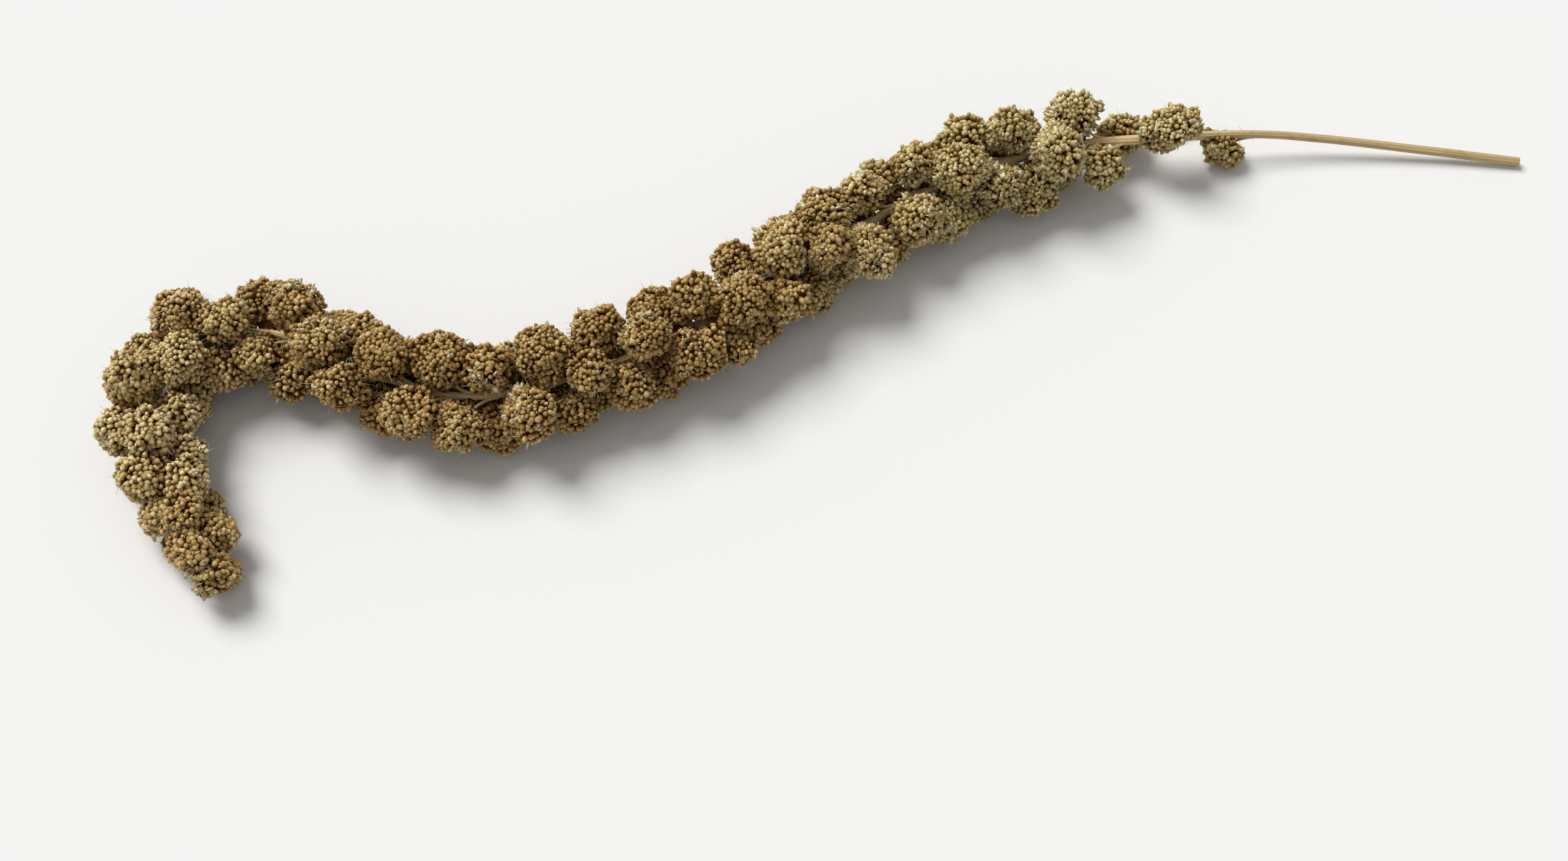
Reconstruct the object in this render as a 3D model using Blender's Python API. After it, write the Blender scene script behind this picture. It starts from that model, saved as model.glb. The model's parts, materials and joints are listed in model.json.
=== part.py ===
"""A dried spray of foxtail millet, cut with a bare stem and lying on a surface.

The seed head is one solid: a thin rachis that carries about a hundred round lobes of seeds on short branches,
crowded and smaller towards the tip. Each lobe is covered with raised seeds, larger than life. The bare stem is a
second solid, face to face with the head's foot. X runs from the tip towards the cut end, Z is up, and the spray
rests at Z = 0 on the lobes under it, which are pressed flat there.
"""

import math
import random

import bmesh
import bpy
import numpy as np
from mathutils import Vector, noise

MM = 0.001
SEED = 41

# Points of the spray's own line from the stem's cut end to the tip, as X, Y and height in millimetres.
ROUTE_MM = (
    (200, 66.4, 1.7),
    (173, 69.4, 3.2),
    (146, 71.4, 5.6),
    (121, 71.4, 8.4),
    (90, 67.4, 11.4),
    (64, 62.4, 13.6),
    (30, 49.4, 14.5),
    (-5, 26.4, 14.5),
    (-34, 4.4, 14.5),
    (-66, -12.6, 14.5),
    (-99, -21.6, 14.5),
    (-127, -14.6, 14.5),
    (-155, -1.6, 14.4),
    (-175, -4.6, 13.6),
    (-186, -21.6, 12.0),
    (-181, -41.6, 10.6),
    (-170, -60.6, 9.4),
    (-162, -77.6, 8.2),
)
STEM_LENGTH = 79 * MM
JOINT_GAP = 0.3 * MM
ROUTE_SAMPLES = 60
FRAME_REACH = 2 * MM

STEM_RADIUS_AT_CUT = 1.35 * MM
STEM_RADIUS_AT_HEAD = 1.2 * MM
STEM_SIDES = 10
STEM_RING_STEP = 5 * MM
RACHIS_RADIUS_AT_TIP = 0.8 * MM
RACHIS_SIDES = 6
RACHIS_RING_STEP = 8 * MM

# Sizes that change along the head are given at its foot, its middle and its tip.
FOOT_LENGTH = 66 * MM
TIP_LENGTH = 80 * MM
LOBE_RADIUS = (5.0 * MM, 6.6 * MM, 5.2 * MM)
LOBE_STRETCH = (1.5, 1.08, 1.05)
LOBE_REACH = (4.0 * MM, 8.9 * MM, 4.6 * MM)
LOBE_STEP = (18 * MM, 3.5 * MM, 2.9 * MM)
LOBE_LEAN = (3.0 * MM, 2.4 * MM, 4.0 * MM)
LAST_LOBE_ROOM = 1.6 * LOBE_RADIUS[2]
RACHIS_ROOM = 2 * LOBE_RADIUS[2]
CLOSING_LENGTH = 16 * MM
FIRST_LOBE = 9 * MM
FIRST_TURN = math.radians(-60)
GOLDEN_ANGLE = math.radians(137.5)

# How far one lobe differs from the next, as shares of its size, its step and its turn.
RADIUS_SPREAD = 0.15
LENGTH_RANGE = (0.96, 1.12)
WIDTH_RANGE = (0.92, 1.12)
REACH_RANGE = (0.93, 1.07)
STEP_RANGE = (0.85, 1.15)
TURN_SPREAD = 0.25
SWELL = 0.1
SWELL_SCALE = 1.4

# How crowded lobes settle: how close they may come, and how far each of many small pushes moves them.
CLOSEST = 0.93
PUSH_SHARE = 0.15
PUSH_ROUNDS = 40
NEIGHBOURS = 12
SLIDE_SHARE = 0.5

# Stretches where the head has parted along one side, above and towards the front, and shows its rachis.
PARTED = ((64, 88), (104, 124), (176, 192), (226, 262), (290, 312), (338, 352))
PARTING_TURN = math.radians(66)
PARTING_HALF = math.radians(52)

# How far a lobe under the head would reach below the surface that flattens it.
PRESSED_DEPTH = 1.5 * MM
LEAST_SLOPE = 0.5

# A lobe's rings of corners, as angles from its outer end, and the raised seeds between them.
LOBE_SIDES = 6
SMALL_LOBE_SIDES = 5
SMALL_LOBE = 5.5 * MM
RING_ANGLES = tuple(math.radians(a) for a in (40, 84, 128))
SEED_RISE = 0.55 * MM
SEED_SINK = 0.45 * MM
HEAD_TRIANGLES = 11500

STRAW = (0.46, 0.32, 0.13)
STRAW_ROUGHNESS = 0.6
SEED_GOLD = (0.42, 0.27, 0.11)
SEED_ROUGHNESS = 0.75
SHARP_ANGLE = math.radians(50)


class Route:
    """The spray's line, measured from the head's foot: below zero on the stem, above it on the head."""

    def __init__(self, points):
        knots = [Vector(p) * MM for p in points]
        ends = [2 * knots[0] - knots[1], *knots, 2 * knots[-1] - knots[-2]]
        fine = [
            catmull_rom(ends[i : i + 4], step / ROUTE_SAMPLES)
            for i in range(len(knots) - 1)
            for step in range(ROUTE_SAMPLES)
        ]
        self.points = np.array([*fine, knots[-1]])
        steps = np.linalg.norm(np.diff(self.points, axis=0), axis=1)
        self.stations = np.concatenate([[0], np.cumsum(steps)]) - STEM_LENGTH

    @property
    def end(self):
        return float(self.stations[-1])

    def at(self, station):
        return Vector([np.interp(station, self.stations, self.points[:, k]) for k in range(3)])

    def frame(self, station):
        """The direction of growth, and the two directions across it: level, and upwards."""
        along = (self.at(station + FRAME_REACH) - self.at(station - FRAME_REACH)).normalized()
        level = Vector((0, 0, 1)).cross(along).normalized()
        return along, level, along.cross(level)


def catmull_rom(knots, t):
    """A point of the smooth curve between the second and third of four knots."""
    a, b, c, d = knots
    return 0.5 * (
        2 * b + (c - a) * t + (2 * a - 5 * b + 4 * c - d) * t * t + (3 * b - a - 3 * c + d) * t**3
    )


def ease(start, end, share):
    """A value that leaves the start and reaches the end gently, at shares 0 and 1."""
    share = min(1, max(0, share))
    return start + (end - start) * share * share * (3 - 2 * share)


def along_head(route, station, sizes):
    """A size at this station, from its values at the head's foot, middle and tip."""
    foot, middle, tip = sizes
    grown = ease(foot, middle, station / FOOT_LENGTH)
    return ease(grown, tip, 1 + (station - route.end) / TIP_LENGTH)


class Lobe:
    """One branch's ball of seeds: its station and turn on the rachis, its reach from it and its own sizes."""

    def __init__(self, route, station, turn, draw):
        self.station = station
        self.turn = turn
        self.radius = along_head(route, station, LOBE_RADIUS) * (1 + draw.uniform(-1, 1) * RADIUS_SPREAD)
        self.length = self.radius * draw.uniform(*LENGTH_RANGE)
        self.width = self.radius * along_head(route, station, LOBE_STRETCH) * draw.uniform(*WIDTH_RANGE)
        closing = min(1, max(0, route.end - station) / CLOSING_LENGTH) ** 0.5
        self.reach = along_head(route, station, LOBE_REACH) * draw.uniform(*REACH_RANGE) * closing
        self.lean = along_head(route, station, LOBE_LEAN)
        self.spot = Vector([draw.uniform(-50, 50) for _ in range(3)])

    def place(self, route):
        """Where the lobe grows from, its middle, and its outward, across and lengthwise directions."""
        along, level, up = route.frame(self.station)
        out = level * math.cos(self.turn) + up * math.sin(self.turn)
        middle = route.at(self.station) + out * self.reach
        root = route.at(self.station - self.lean)
        axis = (middle - root).normalized()
        across = axis.cross(along).normalized()
        return root, middle, (axis, across, axis.cross(across))

    def surface(self, place, tilt, turn, lift):
        """The point of the lobe's skin at an angle from its outer end and a turn round it, lifted by a height."""
        _, middle, (axis, across, other) = place
        ray = axis * math.cos(tilt) + (across * math.cos(turn) + other * math.sin(turn)) * math.sin(tilt)
        swell = 1 + SWELL * noise.noise(ray * SWELL_SCALE + self.spot)
        stretched = (
            axis * (ray.dot(axis) * self.length)
            + across * (ray.dot(across) * self.radius)
            + other * (ray.dot(other) * self.width)
        )
        return middle + stretched * swell + ray * lift


def grow_lobes(route):
    """Lobes up the rachis, each turned by the golden angle from the last, and one on its end."""
    draw = random.Random(SEED)
    lobes = []
    station, turn = FIRST_LOBE, FIRST_TURN
    last = route.end - LAST_LOBE_ROOM
    while station < last:
        lobes.append(Lobe(route, station, turn + draw.uniform(-1, 1) * TURN_SPREAD, draw))
        station += along_head(route, station, LOBE_STEP) * draw.uniform(*STEP_RANGE)
        turn += GOLDEN_ANGLE
    settle(lobes, route)
    end_lobe = Lobe(route, route.end - LOBE_RADIUS[2], 0, draw)
    end_lobe.reach = 0.1 * MM
    lobes.append(end_lobe)
    for lobe in lobes:
        press(lobe, route)
    return lobes


def settle(lobes, route):
    """Neighbours that crowd each other move apart along the rachis and round it, as they do when they swell."""
    for _ in range(PUSH_ROUNDS):
        for lobe in lobes:
            part(lobe)
        places = [lobe.place(route) for lobe in lobes]
        for i, lobe in enumerate(lobes):
            for j in range(i + 1, min(i + NEIGHBOURS, len(lobes))):
                other = lobes[j]
                apart = places[i][1] - places[j][1]
                short = CLOSEST * (lobe.radius + other.radius) - apart.length
                if short <= 0:
                    continue
                push = apart.normalized() * short * PUSH_SHARE
                nudge(lobe, push, route)
                nudge(other, -push, route)


def part(lobe):
    """In a parted stretch a lobe keeps to either side of the parting."""
    off = math.remainder(lobe.turn - PARTING_TURN, math.tau)
    parted = any(low * MM <= lobe.station <= high * MM for low, high in PARTED)
    if parted and abs(off) < PARTING_HALF:
        lobe.turn = PARTING_TURN + math.copysign(PARTING_HALF, off)


def nudge(lobe, push, route):
    """Moves a lobe by a push, as a slide along the rachis and a turn round it."""
    along, level, up = route.frame(lobe.station)
    round_it = up * math.cos(lobe.turn) - level * math.sin(lobe.turn)
    lobe.station += SLIDE_SHARE * push.dot(along)
    lobe.turn += push.dot(round_it) / lobe.reach


def press(lobe, route):
    """A lobe under the head is pushed back towards the rachis until it is only pressed flat by the surface."""
    _, middle, (axis, _, _) = lobe.place(route)
    lowest = middle.z - lobe.radius
    if lowest < -PRESSED_DEPTH:
        lobe.reach -= (-PRESSED_DEPTH - lowest) / max(LEAST_SLOPE, -axis.z)


def add_rings(bm, rings):
    """Faces between rings of corners that are each turned half a step from the last, and the faces made."""
    faces = []
    for k, (lower, upper) in enumerate(zip(rings, rings[1:], strict=False)):
        count = len(lower)
        shift = k % 2
        for i in range(count):
            j = (i + 1) % count
            first = upper[(i + shift) % count]
            faces.append(bm.faces.new((lower[i], lower[j], first)))
            faces.append(bm.faces.new((lower[j], upper[(j + shift) % count], first)))
    return faces


def add_cap(bm, ring, point, outward):
    """A fan of faces from a ring to one point, facing the way the ring turns, or the other way."""
    tip = bm.verts.new(point)
    pairs = [(ring[i], ring[(i + 1) % len(ring)]) for i in range(len(ring))]
    return [bm.faces.new((a, b, tip) if outward else (b, a, tip)) for a, b in pairs]


def raise_seeds(bm, faces, middle, rise):
    """Each face becomes a three-sided seed, whose top is lifted away from the lobe's middle."""
    for face in faces:
        centre = face.calc_center_median()
        seed = bm.verts.new(centre + (centre - middle).normalized() * rise)
        corners = list(face.verts)
        bm.faces.remove(face)
        for i in range(3):
            bm.faces.new((corners[i], corners[(i + 1) % 3], seed))


def lobe_mesh(bm, lobe, route):
    """A ball of raised seeds whose inner side narrows to a branch that ends in the rachis."""
    place = lobe.place(route)
    root, middle, _ = place
    sides = SMALL_LOBE_SIDES if lobe.radius < SMALL_LOBE else LOBE_SIDES
    rings = []
    for k, tilt in enumerate(reversed(RING_ANGLES)):
        turns = [(i + 0.5 * (k % 2)) * math.tau / sides for i in range(sides)]
        rings.append([bm.verts.new(lobe.surface(place, tilt, turn, -SEED_SINK)) for turn in turns])
    add_cap(bm, rings[0], root, outward=False)
    skin = add_rings(bm, rings)
    skin += add_cap(bm, rings[-1], lobe.surface(place, 0, 0, -SEED_SINK), outward=True)
    raise_seeds(bm, skin, middle, SEED_SINK + SEED_RISE)


def tube_mesh(bm, route, start, end, radii, sides, step):
    """A tapered tube along the line, closed by a flat fan at each end."""
    count = max(1, round((end - start) / step))
    rings = []
    for k in range(count + 1):
        station = start + (end - start) * k / count
        radius = radii[0] + (radii[1] - radii[0]) * k / count
        _, level, up = route.frame(station)
        turns = [(i + 0.5 * (k % 2)) * math.tau / sides for i in range(sides)]
        ring = [route.at(station) + (level * math.cos(a) + up * math.sin(a)) * radius for a in turns]
        rings.append([bm.verts.new(point) for point in ring])
    add_cap(bm, rings[0], route.at(start), outward=False)
    add_rings(bm, rings)
    add_cap(bm, rings[-1], route.at(end), outward=True)


def new_object(name, build, *args, collection=None):
    """An object in the scene, or in a helper collection, whose mesh a function builds."""
    bm = bmesh.new()
    build(bm, *args)
    bmesh.ops.recalc_face_normals(bm, faces=bm.faces)
    mesh = bpy.data.meshes.new(name)
    bm.to_mesh(mesh)
    bm.free()
    obj = bpy.data.objects.new(name, mesh)
    (collection or bpy.context.scene.collection).objects.link(obj)
    return obj


def apply_boolean(obj, operation, **operand):
    """Joins an object or a collection to the object, or cuts it away, for good."""
    modifier = obj.modifiers.new(operation.title(), "BOOLEAN")
    modifier.operation = operation
    for name, value in operand.items():
        setattr(modifier, name, value)
    apply_modifiers(obj)


def keep_outer_skin(obj):
    """Fills the hollows that fusing sealed, and drops loose scraps: only the largest skin stays."""
    bm = bmesh.new()
    bm.from_mesh(obj.data)
    left = set(bm.verts)
    skins = []
    while left:
        skin = {left.pop()}
        edge_of_skin = set(skin)
        while edge_of_skin:
            near = {edge.other_vert(vert) for vert in edge_of_skin for edge in vert.link_edges}
            edge_of_skin = near - skin
            skin |= edge_of_skin
        left -= skin
        skins.append(skin)
    skins.sort(key=len)
    bmesh.ops.delete(bm, geom=[vert for skin in skins[:-1] for vert in skin])
    bm.to_mesh(obj.data)
    bm.free()


def thin_out(obj, triangles):
    """Collapses the slivers that the union left between the seeds, down to a number of triangles."""
    obj.data.calc_loop_triangles()
    modifier = obj.modifiers.new("Thin out", "DECIMATE")
    modifier.ratio = min(1, triangles / len(obj.data.loop_triangles))
    modifier.use_collapse_triangulate = True
    apply_modifiers(obj)


def apply_modifiers(obj):
    """Makes the object's modified shape its mesh."""
    graph = bpy.context.evaluated_depsgraph_get()
    result = bpy.data.meshes.new_from_object(obj.evaluated_get(graph), depsgraph=graph)
    obj.modifiers.clear()
    obj.data = result


def surface_block(bm):
    """A block whose top is the surface that the spray lies on."""
    bmesh.ops.create_cube(bm, size=1)
    bmesh.ops.translate(bm, verts=bm.verts, vec=(0, 0, -0.5))


def build_head(route):
    """The rachis with its lobes fused to it, flattened where it lies."""
    head = new_object(
        "head",
        tube_mesh,
        route,
        0,
        route.end - RACHIS_ROOM,
        (STEM_RADIUS_AT_HEAD, RACHIS_RADIUS_AT_TIP),
        RACHIS_SIDES,
        RACHIS_RING_STEP,
    )
    parts = bpy.data.collections.new("lobes")
    bpy.context.scene.collection.children.link(parts)
    for number, lobe in enumerate(grow_lobes(route), 1):
        new_object(f"lobe_{number:02d}", lobe_mesh, lobe, route, collection=parts)
    apply_boolean(head, "UNION", operand_type="COLLECTION", collection=parts)
    for obj in list(parts.objects):
        bpy.data.objects.remove(obj)
    bpy.data.collections.remove(parts)
    keep_outer_skin(head)
    thin_out(head, HEAD_TRIANGLES)
    block = new_object("surface", surface_block)
    apply_boolean(head, "DIFFERENCE", object=block)
    bpy.data.objects.remove(block)
    keep_outer_skin(head)
    dress(head, "seed_gold", SEED_GOLD, SEED_ROUGHNESS)


def build_stem(route):
    """The bare stem, which ends just short of the rachis."""
    stem = new_object(
        "stem",
        tube_mesh,
        route,
        -STEM_LENGTH,
        -JOINT_GAP,
        (STEM_RADIUS_AT_CUT, STEM_RADIUS_AT_HEAD),
        STEM_SIDES,
        STEM_RING_STEP,
    )
    dress(stem, "straw", STRAW, STRAW_ROUGHNESS)
    stem.data.shade_smooth()
    stem.data.set_sharp_from_angle(angle=SHARP_ANGLE)


def dress(obj, name, colour, roughness):
    """Gives the object a plain material of its own."""
    material = bpy.data.materials.new(name)
    material.use_nodes = True
    shader = material.node_tree.nodes["Principled BSDF"]
    shader.inputs["Base Color"].default_value = (*colour, 1)
    shader.inputs["Roughness"].default_value = roughness
    shader.inputs["Metallic"].default_value = 0
    obj.data.materials.clear()
    obj.data.materials.append(material)


def main():
    for obj in list(bpy.data.objects):
        bpy.data.objects.remove(obj)
    route = Route(ROUTE_MM)
    build_head(route)
    build_stem(route)


main()
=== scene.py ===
"""The looks of a dried spray of foxtail millet that lies on a pale surface.

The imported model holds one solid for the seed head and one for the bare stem. Here finer pieces on the same
line take their place. The same rule with the same draws puts the same lobes along the rachis, and each lobe
is then covered with seeds, husks and bristles at their real size. Lengths are in metres, Z is up and the
surface is at Z = 0.
"""

import json
import logging
import math
import random
from collections.abc import Callable, Iterator, Sequence
from dataclasses import dataclass, field, fields, replace
from enum import Enum

import bmesh
import bpy
import numpy as np
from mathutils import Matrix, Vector, noise

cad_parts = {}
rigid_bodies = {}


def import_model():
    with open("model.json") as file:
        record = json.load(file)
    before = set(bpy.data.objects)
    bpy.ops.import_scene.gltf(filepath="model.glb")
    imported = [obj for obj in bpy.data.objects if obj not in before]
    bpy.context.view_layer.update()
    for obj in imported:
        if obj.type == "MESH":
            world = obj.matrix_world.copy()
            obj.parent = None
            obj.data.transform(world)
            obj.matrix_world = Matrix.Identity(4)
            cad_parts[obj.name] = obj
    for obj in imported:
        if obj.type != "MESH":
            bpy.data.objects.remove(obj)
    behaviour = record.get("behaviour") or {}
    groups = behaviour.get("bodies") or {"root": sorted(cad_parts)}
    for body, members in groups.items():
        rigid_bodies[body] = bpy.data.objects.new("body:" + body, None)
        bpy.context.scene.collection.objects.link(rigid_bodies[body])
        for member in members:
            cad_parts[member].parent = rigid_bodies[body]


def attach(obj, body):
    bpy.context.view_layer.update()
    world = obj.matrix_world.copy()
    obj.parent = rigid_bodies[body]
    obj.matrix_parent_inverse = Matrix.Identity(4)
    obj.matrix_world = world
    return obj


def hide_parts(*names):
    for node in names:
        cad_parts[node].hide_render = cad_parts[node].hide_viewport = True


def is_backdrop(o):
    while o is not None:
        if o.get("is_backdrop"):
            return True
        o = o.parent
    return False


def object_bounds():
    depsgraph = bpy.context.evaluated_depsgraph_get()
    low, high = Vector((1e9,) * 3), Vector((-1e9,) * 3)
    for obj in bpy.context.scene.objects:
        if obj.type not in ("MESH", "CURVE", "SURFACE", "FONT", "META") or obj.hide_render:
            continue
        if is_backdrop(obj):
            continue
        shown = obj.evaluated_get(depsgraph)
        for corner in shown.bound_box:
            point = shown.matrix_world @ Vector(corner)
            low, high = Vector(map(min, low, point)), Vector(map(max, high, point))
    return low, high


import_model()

CAD_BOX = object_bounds()
LOG = logging.getLogger("millet_spray")
MM = 0.001
STYLE_MAP = "OFBake"
GRAIN_MAP = "grain"
STYLES = 8
SHARP_FROM = math.radians(50)

Place = tuple[Vector, Vector, tuple[Vector, Vector, Vector]]
Colour = tuple[float, float, float]
Span = tuple[float, float]
Rings = list[list[Vector]]
Spots = list[list[tuple[float, float]]]
Socket = bpy.types.NodeSocket


class Stretch(Enum):
    """Stretches of the head, each with the station where it ends. The seeds of each are one piece."""

    FOOT = 88 * MM
    LOWER = 152 * MM
    MIDDLE = 216 * MM
    UPPER = 278 * MM
    BEND = 344 * MM
    TIP = 500 * MM

    @property
    def label(self) -> str:
        """The stretch's name in the names of pieces."""
        return self.name.lower()

    @staticmethod
    def at(station: float) -> "Stretch":
        """The stretch that holds a station."""
        return next(stretch for stretch in Stretch if station < stretch.value)


@dataclass(frozen=True)
class Along:
    """A value that changes along the head, given at its foot, its middle and its tip."""

    foot: float
    middle: float
    tip: float


@dataclass
class Line:
    """The spray's own line, measured from the head's foot: below zero on the stem, above it on the head."""

    knots_mm: Sequence[tuple[float, float, float]] = (
        (200, 66.4, 1.7), (173, 69.4, 3.2), (146, 71.4, 5.6), (121, 71.4, 8.4),
        (90, 67.4, 11.4), (64, 62.4, 13.6), (30, 49.4, 14.5), (-5, 26.4, 14.5),
        (-34, 4.4, 14.5), (-66, -12.6, 14.5), (-99, -21.6, 14.5), (-127, -14.6, 14.5),
        (-155, -1.6, 14.4), (-175, -4.6, 13.6), (-186, -21.6, 12.0), (-181, -41.6, 10.6),
        (-170, -60.6, 9.4), (-162, -77.6, 8.2),
    )
    stem_length: float = 79 * MM
    samples: int = 60
    frame_reach: float = 2 * MM
    foot_length: float = 66 * MM
    tip_length: float = 80 * MM
    points: np.ndarray = field(init=False)
    stations: np.ndarray = field(init=False)

    def __post_init__(self) -> None:
        """Samples the smooth curve through the knots."""
        knots = [Vector(p) * MM for p in self.knots_mm]
        ends = [2 * knots[0] - knots[1], *knots, 2 * knots[-1] - knots[-2]]
        fine = [
            self.between(ends[i : i + 4], step / self.samples)
            for i in range(len(knots) - 1)
            for step in range(self.samples)
        ]
        self.points = np.array([*fine, knots[-1]])
        steps = np.linalg.norm(np.diff(self.points, axis=0), axis=1)
        self.stations = np.concatenate([[0], np.cumsum(steps)]) - self.stem_length

    @staticmethod
    def between(knots: Sequence[Vector], t: float) -> Vector:
        """The smooth curve between the second and third of four knots.

        Args:
            knots: Four knots in a row.
            t: The share of the way from the second to the third.

        Returns:
            The point there.
        """
        a, b, c, d = knots
        return 0.5 * (
            2 * b + (c - a) * t + (2 * a - 5 * b + 4 * c - d) * t * t + (3 * b - a - 3 * c + d) * t**3
        )

    @property
    def end(self) -> float:
        """The station of the line's tip."""
        return float(self.stations[-1])

    def at(self, station: float) -> Vector:
        """The point of the line at a station."""
        return Vector([np.interp(station, self.stations, self.points[:, k]) for k in range(3)])

    def frame(self, station: float) -> tuple[Vector, Vector, Vector]:
        """The directions at a station.

        Args:
            station: Where on the line.

        Returns:
            The direction of growth, and the two directions across it: level, and upwards.
        """
        along = (self.at(station + self.frame_reach) - self.at(station - self.frame_reach)).normalized()
        level = Vector((0, 0, 1)).cross(along).normalized()
        return along, level, along.cross(level)

    def size(self, station: float, sizes: Along) -> float:
        """A size that changes along the head.

        Args:
            station: Where on the head.
            sizes: Its values at the head's foot, middle and tip.

        Returns:
            The value there.
        """
        grown = ease(sizes.foot, sizes.middle, station / self.foot_length)
        return ease(grown, sizes.tip, 1 + (station - self.end) / self.tip_length)


def ease(start: float, end: float, share: float) -> float:
    """A value that leaves the start and reaches the end gently.

    Args:
        start: The value at share 0 and below.
        end: The value at share 1 and above.
        share: The share of the way.

    Returns:
        The value at that share.
    """
    share = min(1, max(0, share))
    return start + (end - start) * share * share * (3 - 2 * share)


@dataclass(frozen=True)
class Growth:
    """How lobes grow, crowd, part and press flat along the head, as in the solid."""

    seed: int = 41
    radius: Along = Along(5.0 * MM, 6.6 * MM, 5.2 * MM)
    stretch: Along = Along(1.5, 1.08, 1.05)
    reach: Along = Along(4.0 * MM, 8.9 * MM, 4.6 * MM)
    step: Along = Along(18 * MM, 3.5 * MM, 2.9 * MM)
    lean: Along = Along(3.0 * MM, 2.4 * MM, 4.0 * MM)
    closing_length: float = 16 * MM
    first_station: float = 9 * MM
    first_turn: float = math.radians(-60)
    golden_angle: float = math.radians(137.5)
    radius_spread: float = 0.15
    length_range: Span = (0.96, 1.12)
    width_range: Span = (0.92, 1.12)
    reach_range: Span = (0.93, 1.07)
    step_range: Span = (0.85, 1.15)
    turn_spread: float = 0.25
    swell: float = 0.1
    swell_scale: float = 1.4
    swell_places: float = 50.0
    closest: float = 0.93
    push_share: float = 0.15
    push_rounds: int = 40
    neighbours: int = 12
    slide_share: float = 0.5
    last_room: float = 1.6
    end_reach: float = 0.1 * MM
    parted_mm: Sequence[Span] = (
        (64, 88), (104, 124), (176, 192), (226, 262), (290, 312), (338, 352),
    )
    parting_turn: float = math.radians(66)
    parting_half: float = math.radians(52)
    pressed_depth: float = 1.5 * MM
    least_slope: float = 0.5

    def parted(self, station: float) -> bool:
        """Whether the head has parted here and shows its rachis."""
        return any(low * MM <= station <= high * MM for low, high in self.parted_mm)


class Lobe:
    """One branch's ball of seeds: its station and turn on the rachis, its reach from it and its own sizes."""

    def __init__(self, line: Line, rule: Growth, station: float, turn: float, draw: random.Random) -> None:
        """Draws the lobe's own sizes.

        Args:
            line: The spray's line.
            rule: How lobes grow.
            station: Where its branch leaves the rachis.
            turn: Its turn round the rachis, from level.
            draw: The seeded draw.
        """
        self.line, self.rule = line, rule
        self.station, self.turn = station, turn
        self.radius = line.size(station, rule.radius) * (1 + draw.uniform(-1, 1) * rule.radius_spread)
        self.length = self.radius * draw.uniform(*rule.length_range)
        self.width = self.radius * line.size(station, rule.stretch) * draw.uniform(*rule.width_range)
        closing = min(1, max(0, line.end - station) / rule.closing_length) ** 0.5
        self.reach = line.size(station, rule.reach) * draw.uniform(*rule.reach_range) * closing
        self.lean = line.size(station, rule.lean)
        places = rule.swell_places
        self.spot = Vector([draw.uniform(-places, places) for _ in range(3)])
        self.kept: Place | None = None

    def place(self) -> Place:
        """Where the lobe grows from, its middle, and its outward, across and lengthwise directions.

        Returns:
            The place, which is worked out anew until it is kept.
        """
        if self.kept:
            return self.kept
        along, level, up = self.line.frame(self.station)
        out = level * math.cos(self.turn) + up * math.sin(self.turn)
        middle = self.line.at(self.station) + out * self.reach
        root = self.line.at(self.station - self.lean)
        axis = (middle - root).normalized()
        across = axis.cross(along).normalized()
        return root, middle, (axis, across, axis.cross(across))

    def surface(self, place: Place, tilt: float, turn: float, lift: float) -> Vector:
        """A point of the lobe's skin.

        Args:
            place: The lobe's place.
            tilt: The angle from its outer end.
            turn: The turn round its axis.
            lift: The height over the skin.

        Returns:
            The point.
        """
        _, middle, (axis, across, other) = place
        ray = axis * math.cos(tilt) + (across * math.cos(turn) + other * math.sin(turn)) * math.sin(tilt)
        swell = 1 + self.rule.swell * noise.noise(ray * self.rule.swell_scale + self.spot)
        stretched = (
            axis * (ray.dot(axis) * self.length)
            + across * (ray.dot(across) * self.radius)
            + other * (ray.dot(other) * self.width)
        )
        return middle + stretched * swell + ray * lift

    def keep_off_parting(self) -> None:
        """In a parted stretch a lobe keeps to either side of the parting."""
        off = math.remainder(self.turn - self.rule.parting_turn, math.tau)
        if self.rule.parted(self.station) and abs(off) < self.rule.parting_half:
            self.turn = self.rule.parting_turn + math.copysign(self.rule.parting_half, off)

    def nudge(self, push: Vector) -> None:
        """Moves the lobe by a push, as a slide along the rachis and a turn round it.

        Args:
            push: How far it is pushed, and which way.
        """
        along, level, up = self.line.frame(self.station)
        round_it = up * math.cos(self.turn) - level * math.sin(self.turn)
        self.station += self.rule.slide_share * push.dot(along)
        self.turn += push.dot(round_it) / self.reach

    def press(self) -> None:
        """Pushes the lobe back towards the rachis until the surface only presses it flat."""
        _, middle, (axis, _, _) = self.place()
        lowest = middle.z - self.radius
        if lowest < -self.rule.pressed_depth:
            self.reach -= (-self.rule.pressed_depth - lowest) / max(self.rule.least_slope, -axis.z)

    def depths(self, points: np.ndarray) -> np.ndarray:
        """How far points lie outside the lobe.

        Args:
            points: The points, one a row.

        Returns:
            One distance a point, below zero inside the lobe.
        """
        _, middle, directions = self.place()
        local = (points - np.array(middle)) @ np.array([list(d) for d in directions]).T
        shares = local / (self.length, self.radius, self.width)
        return (np.linalg.norm(shares, axis=1) - 1) * self.radius


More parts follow.
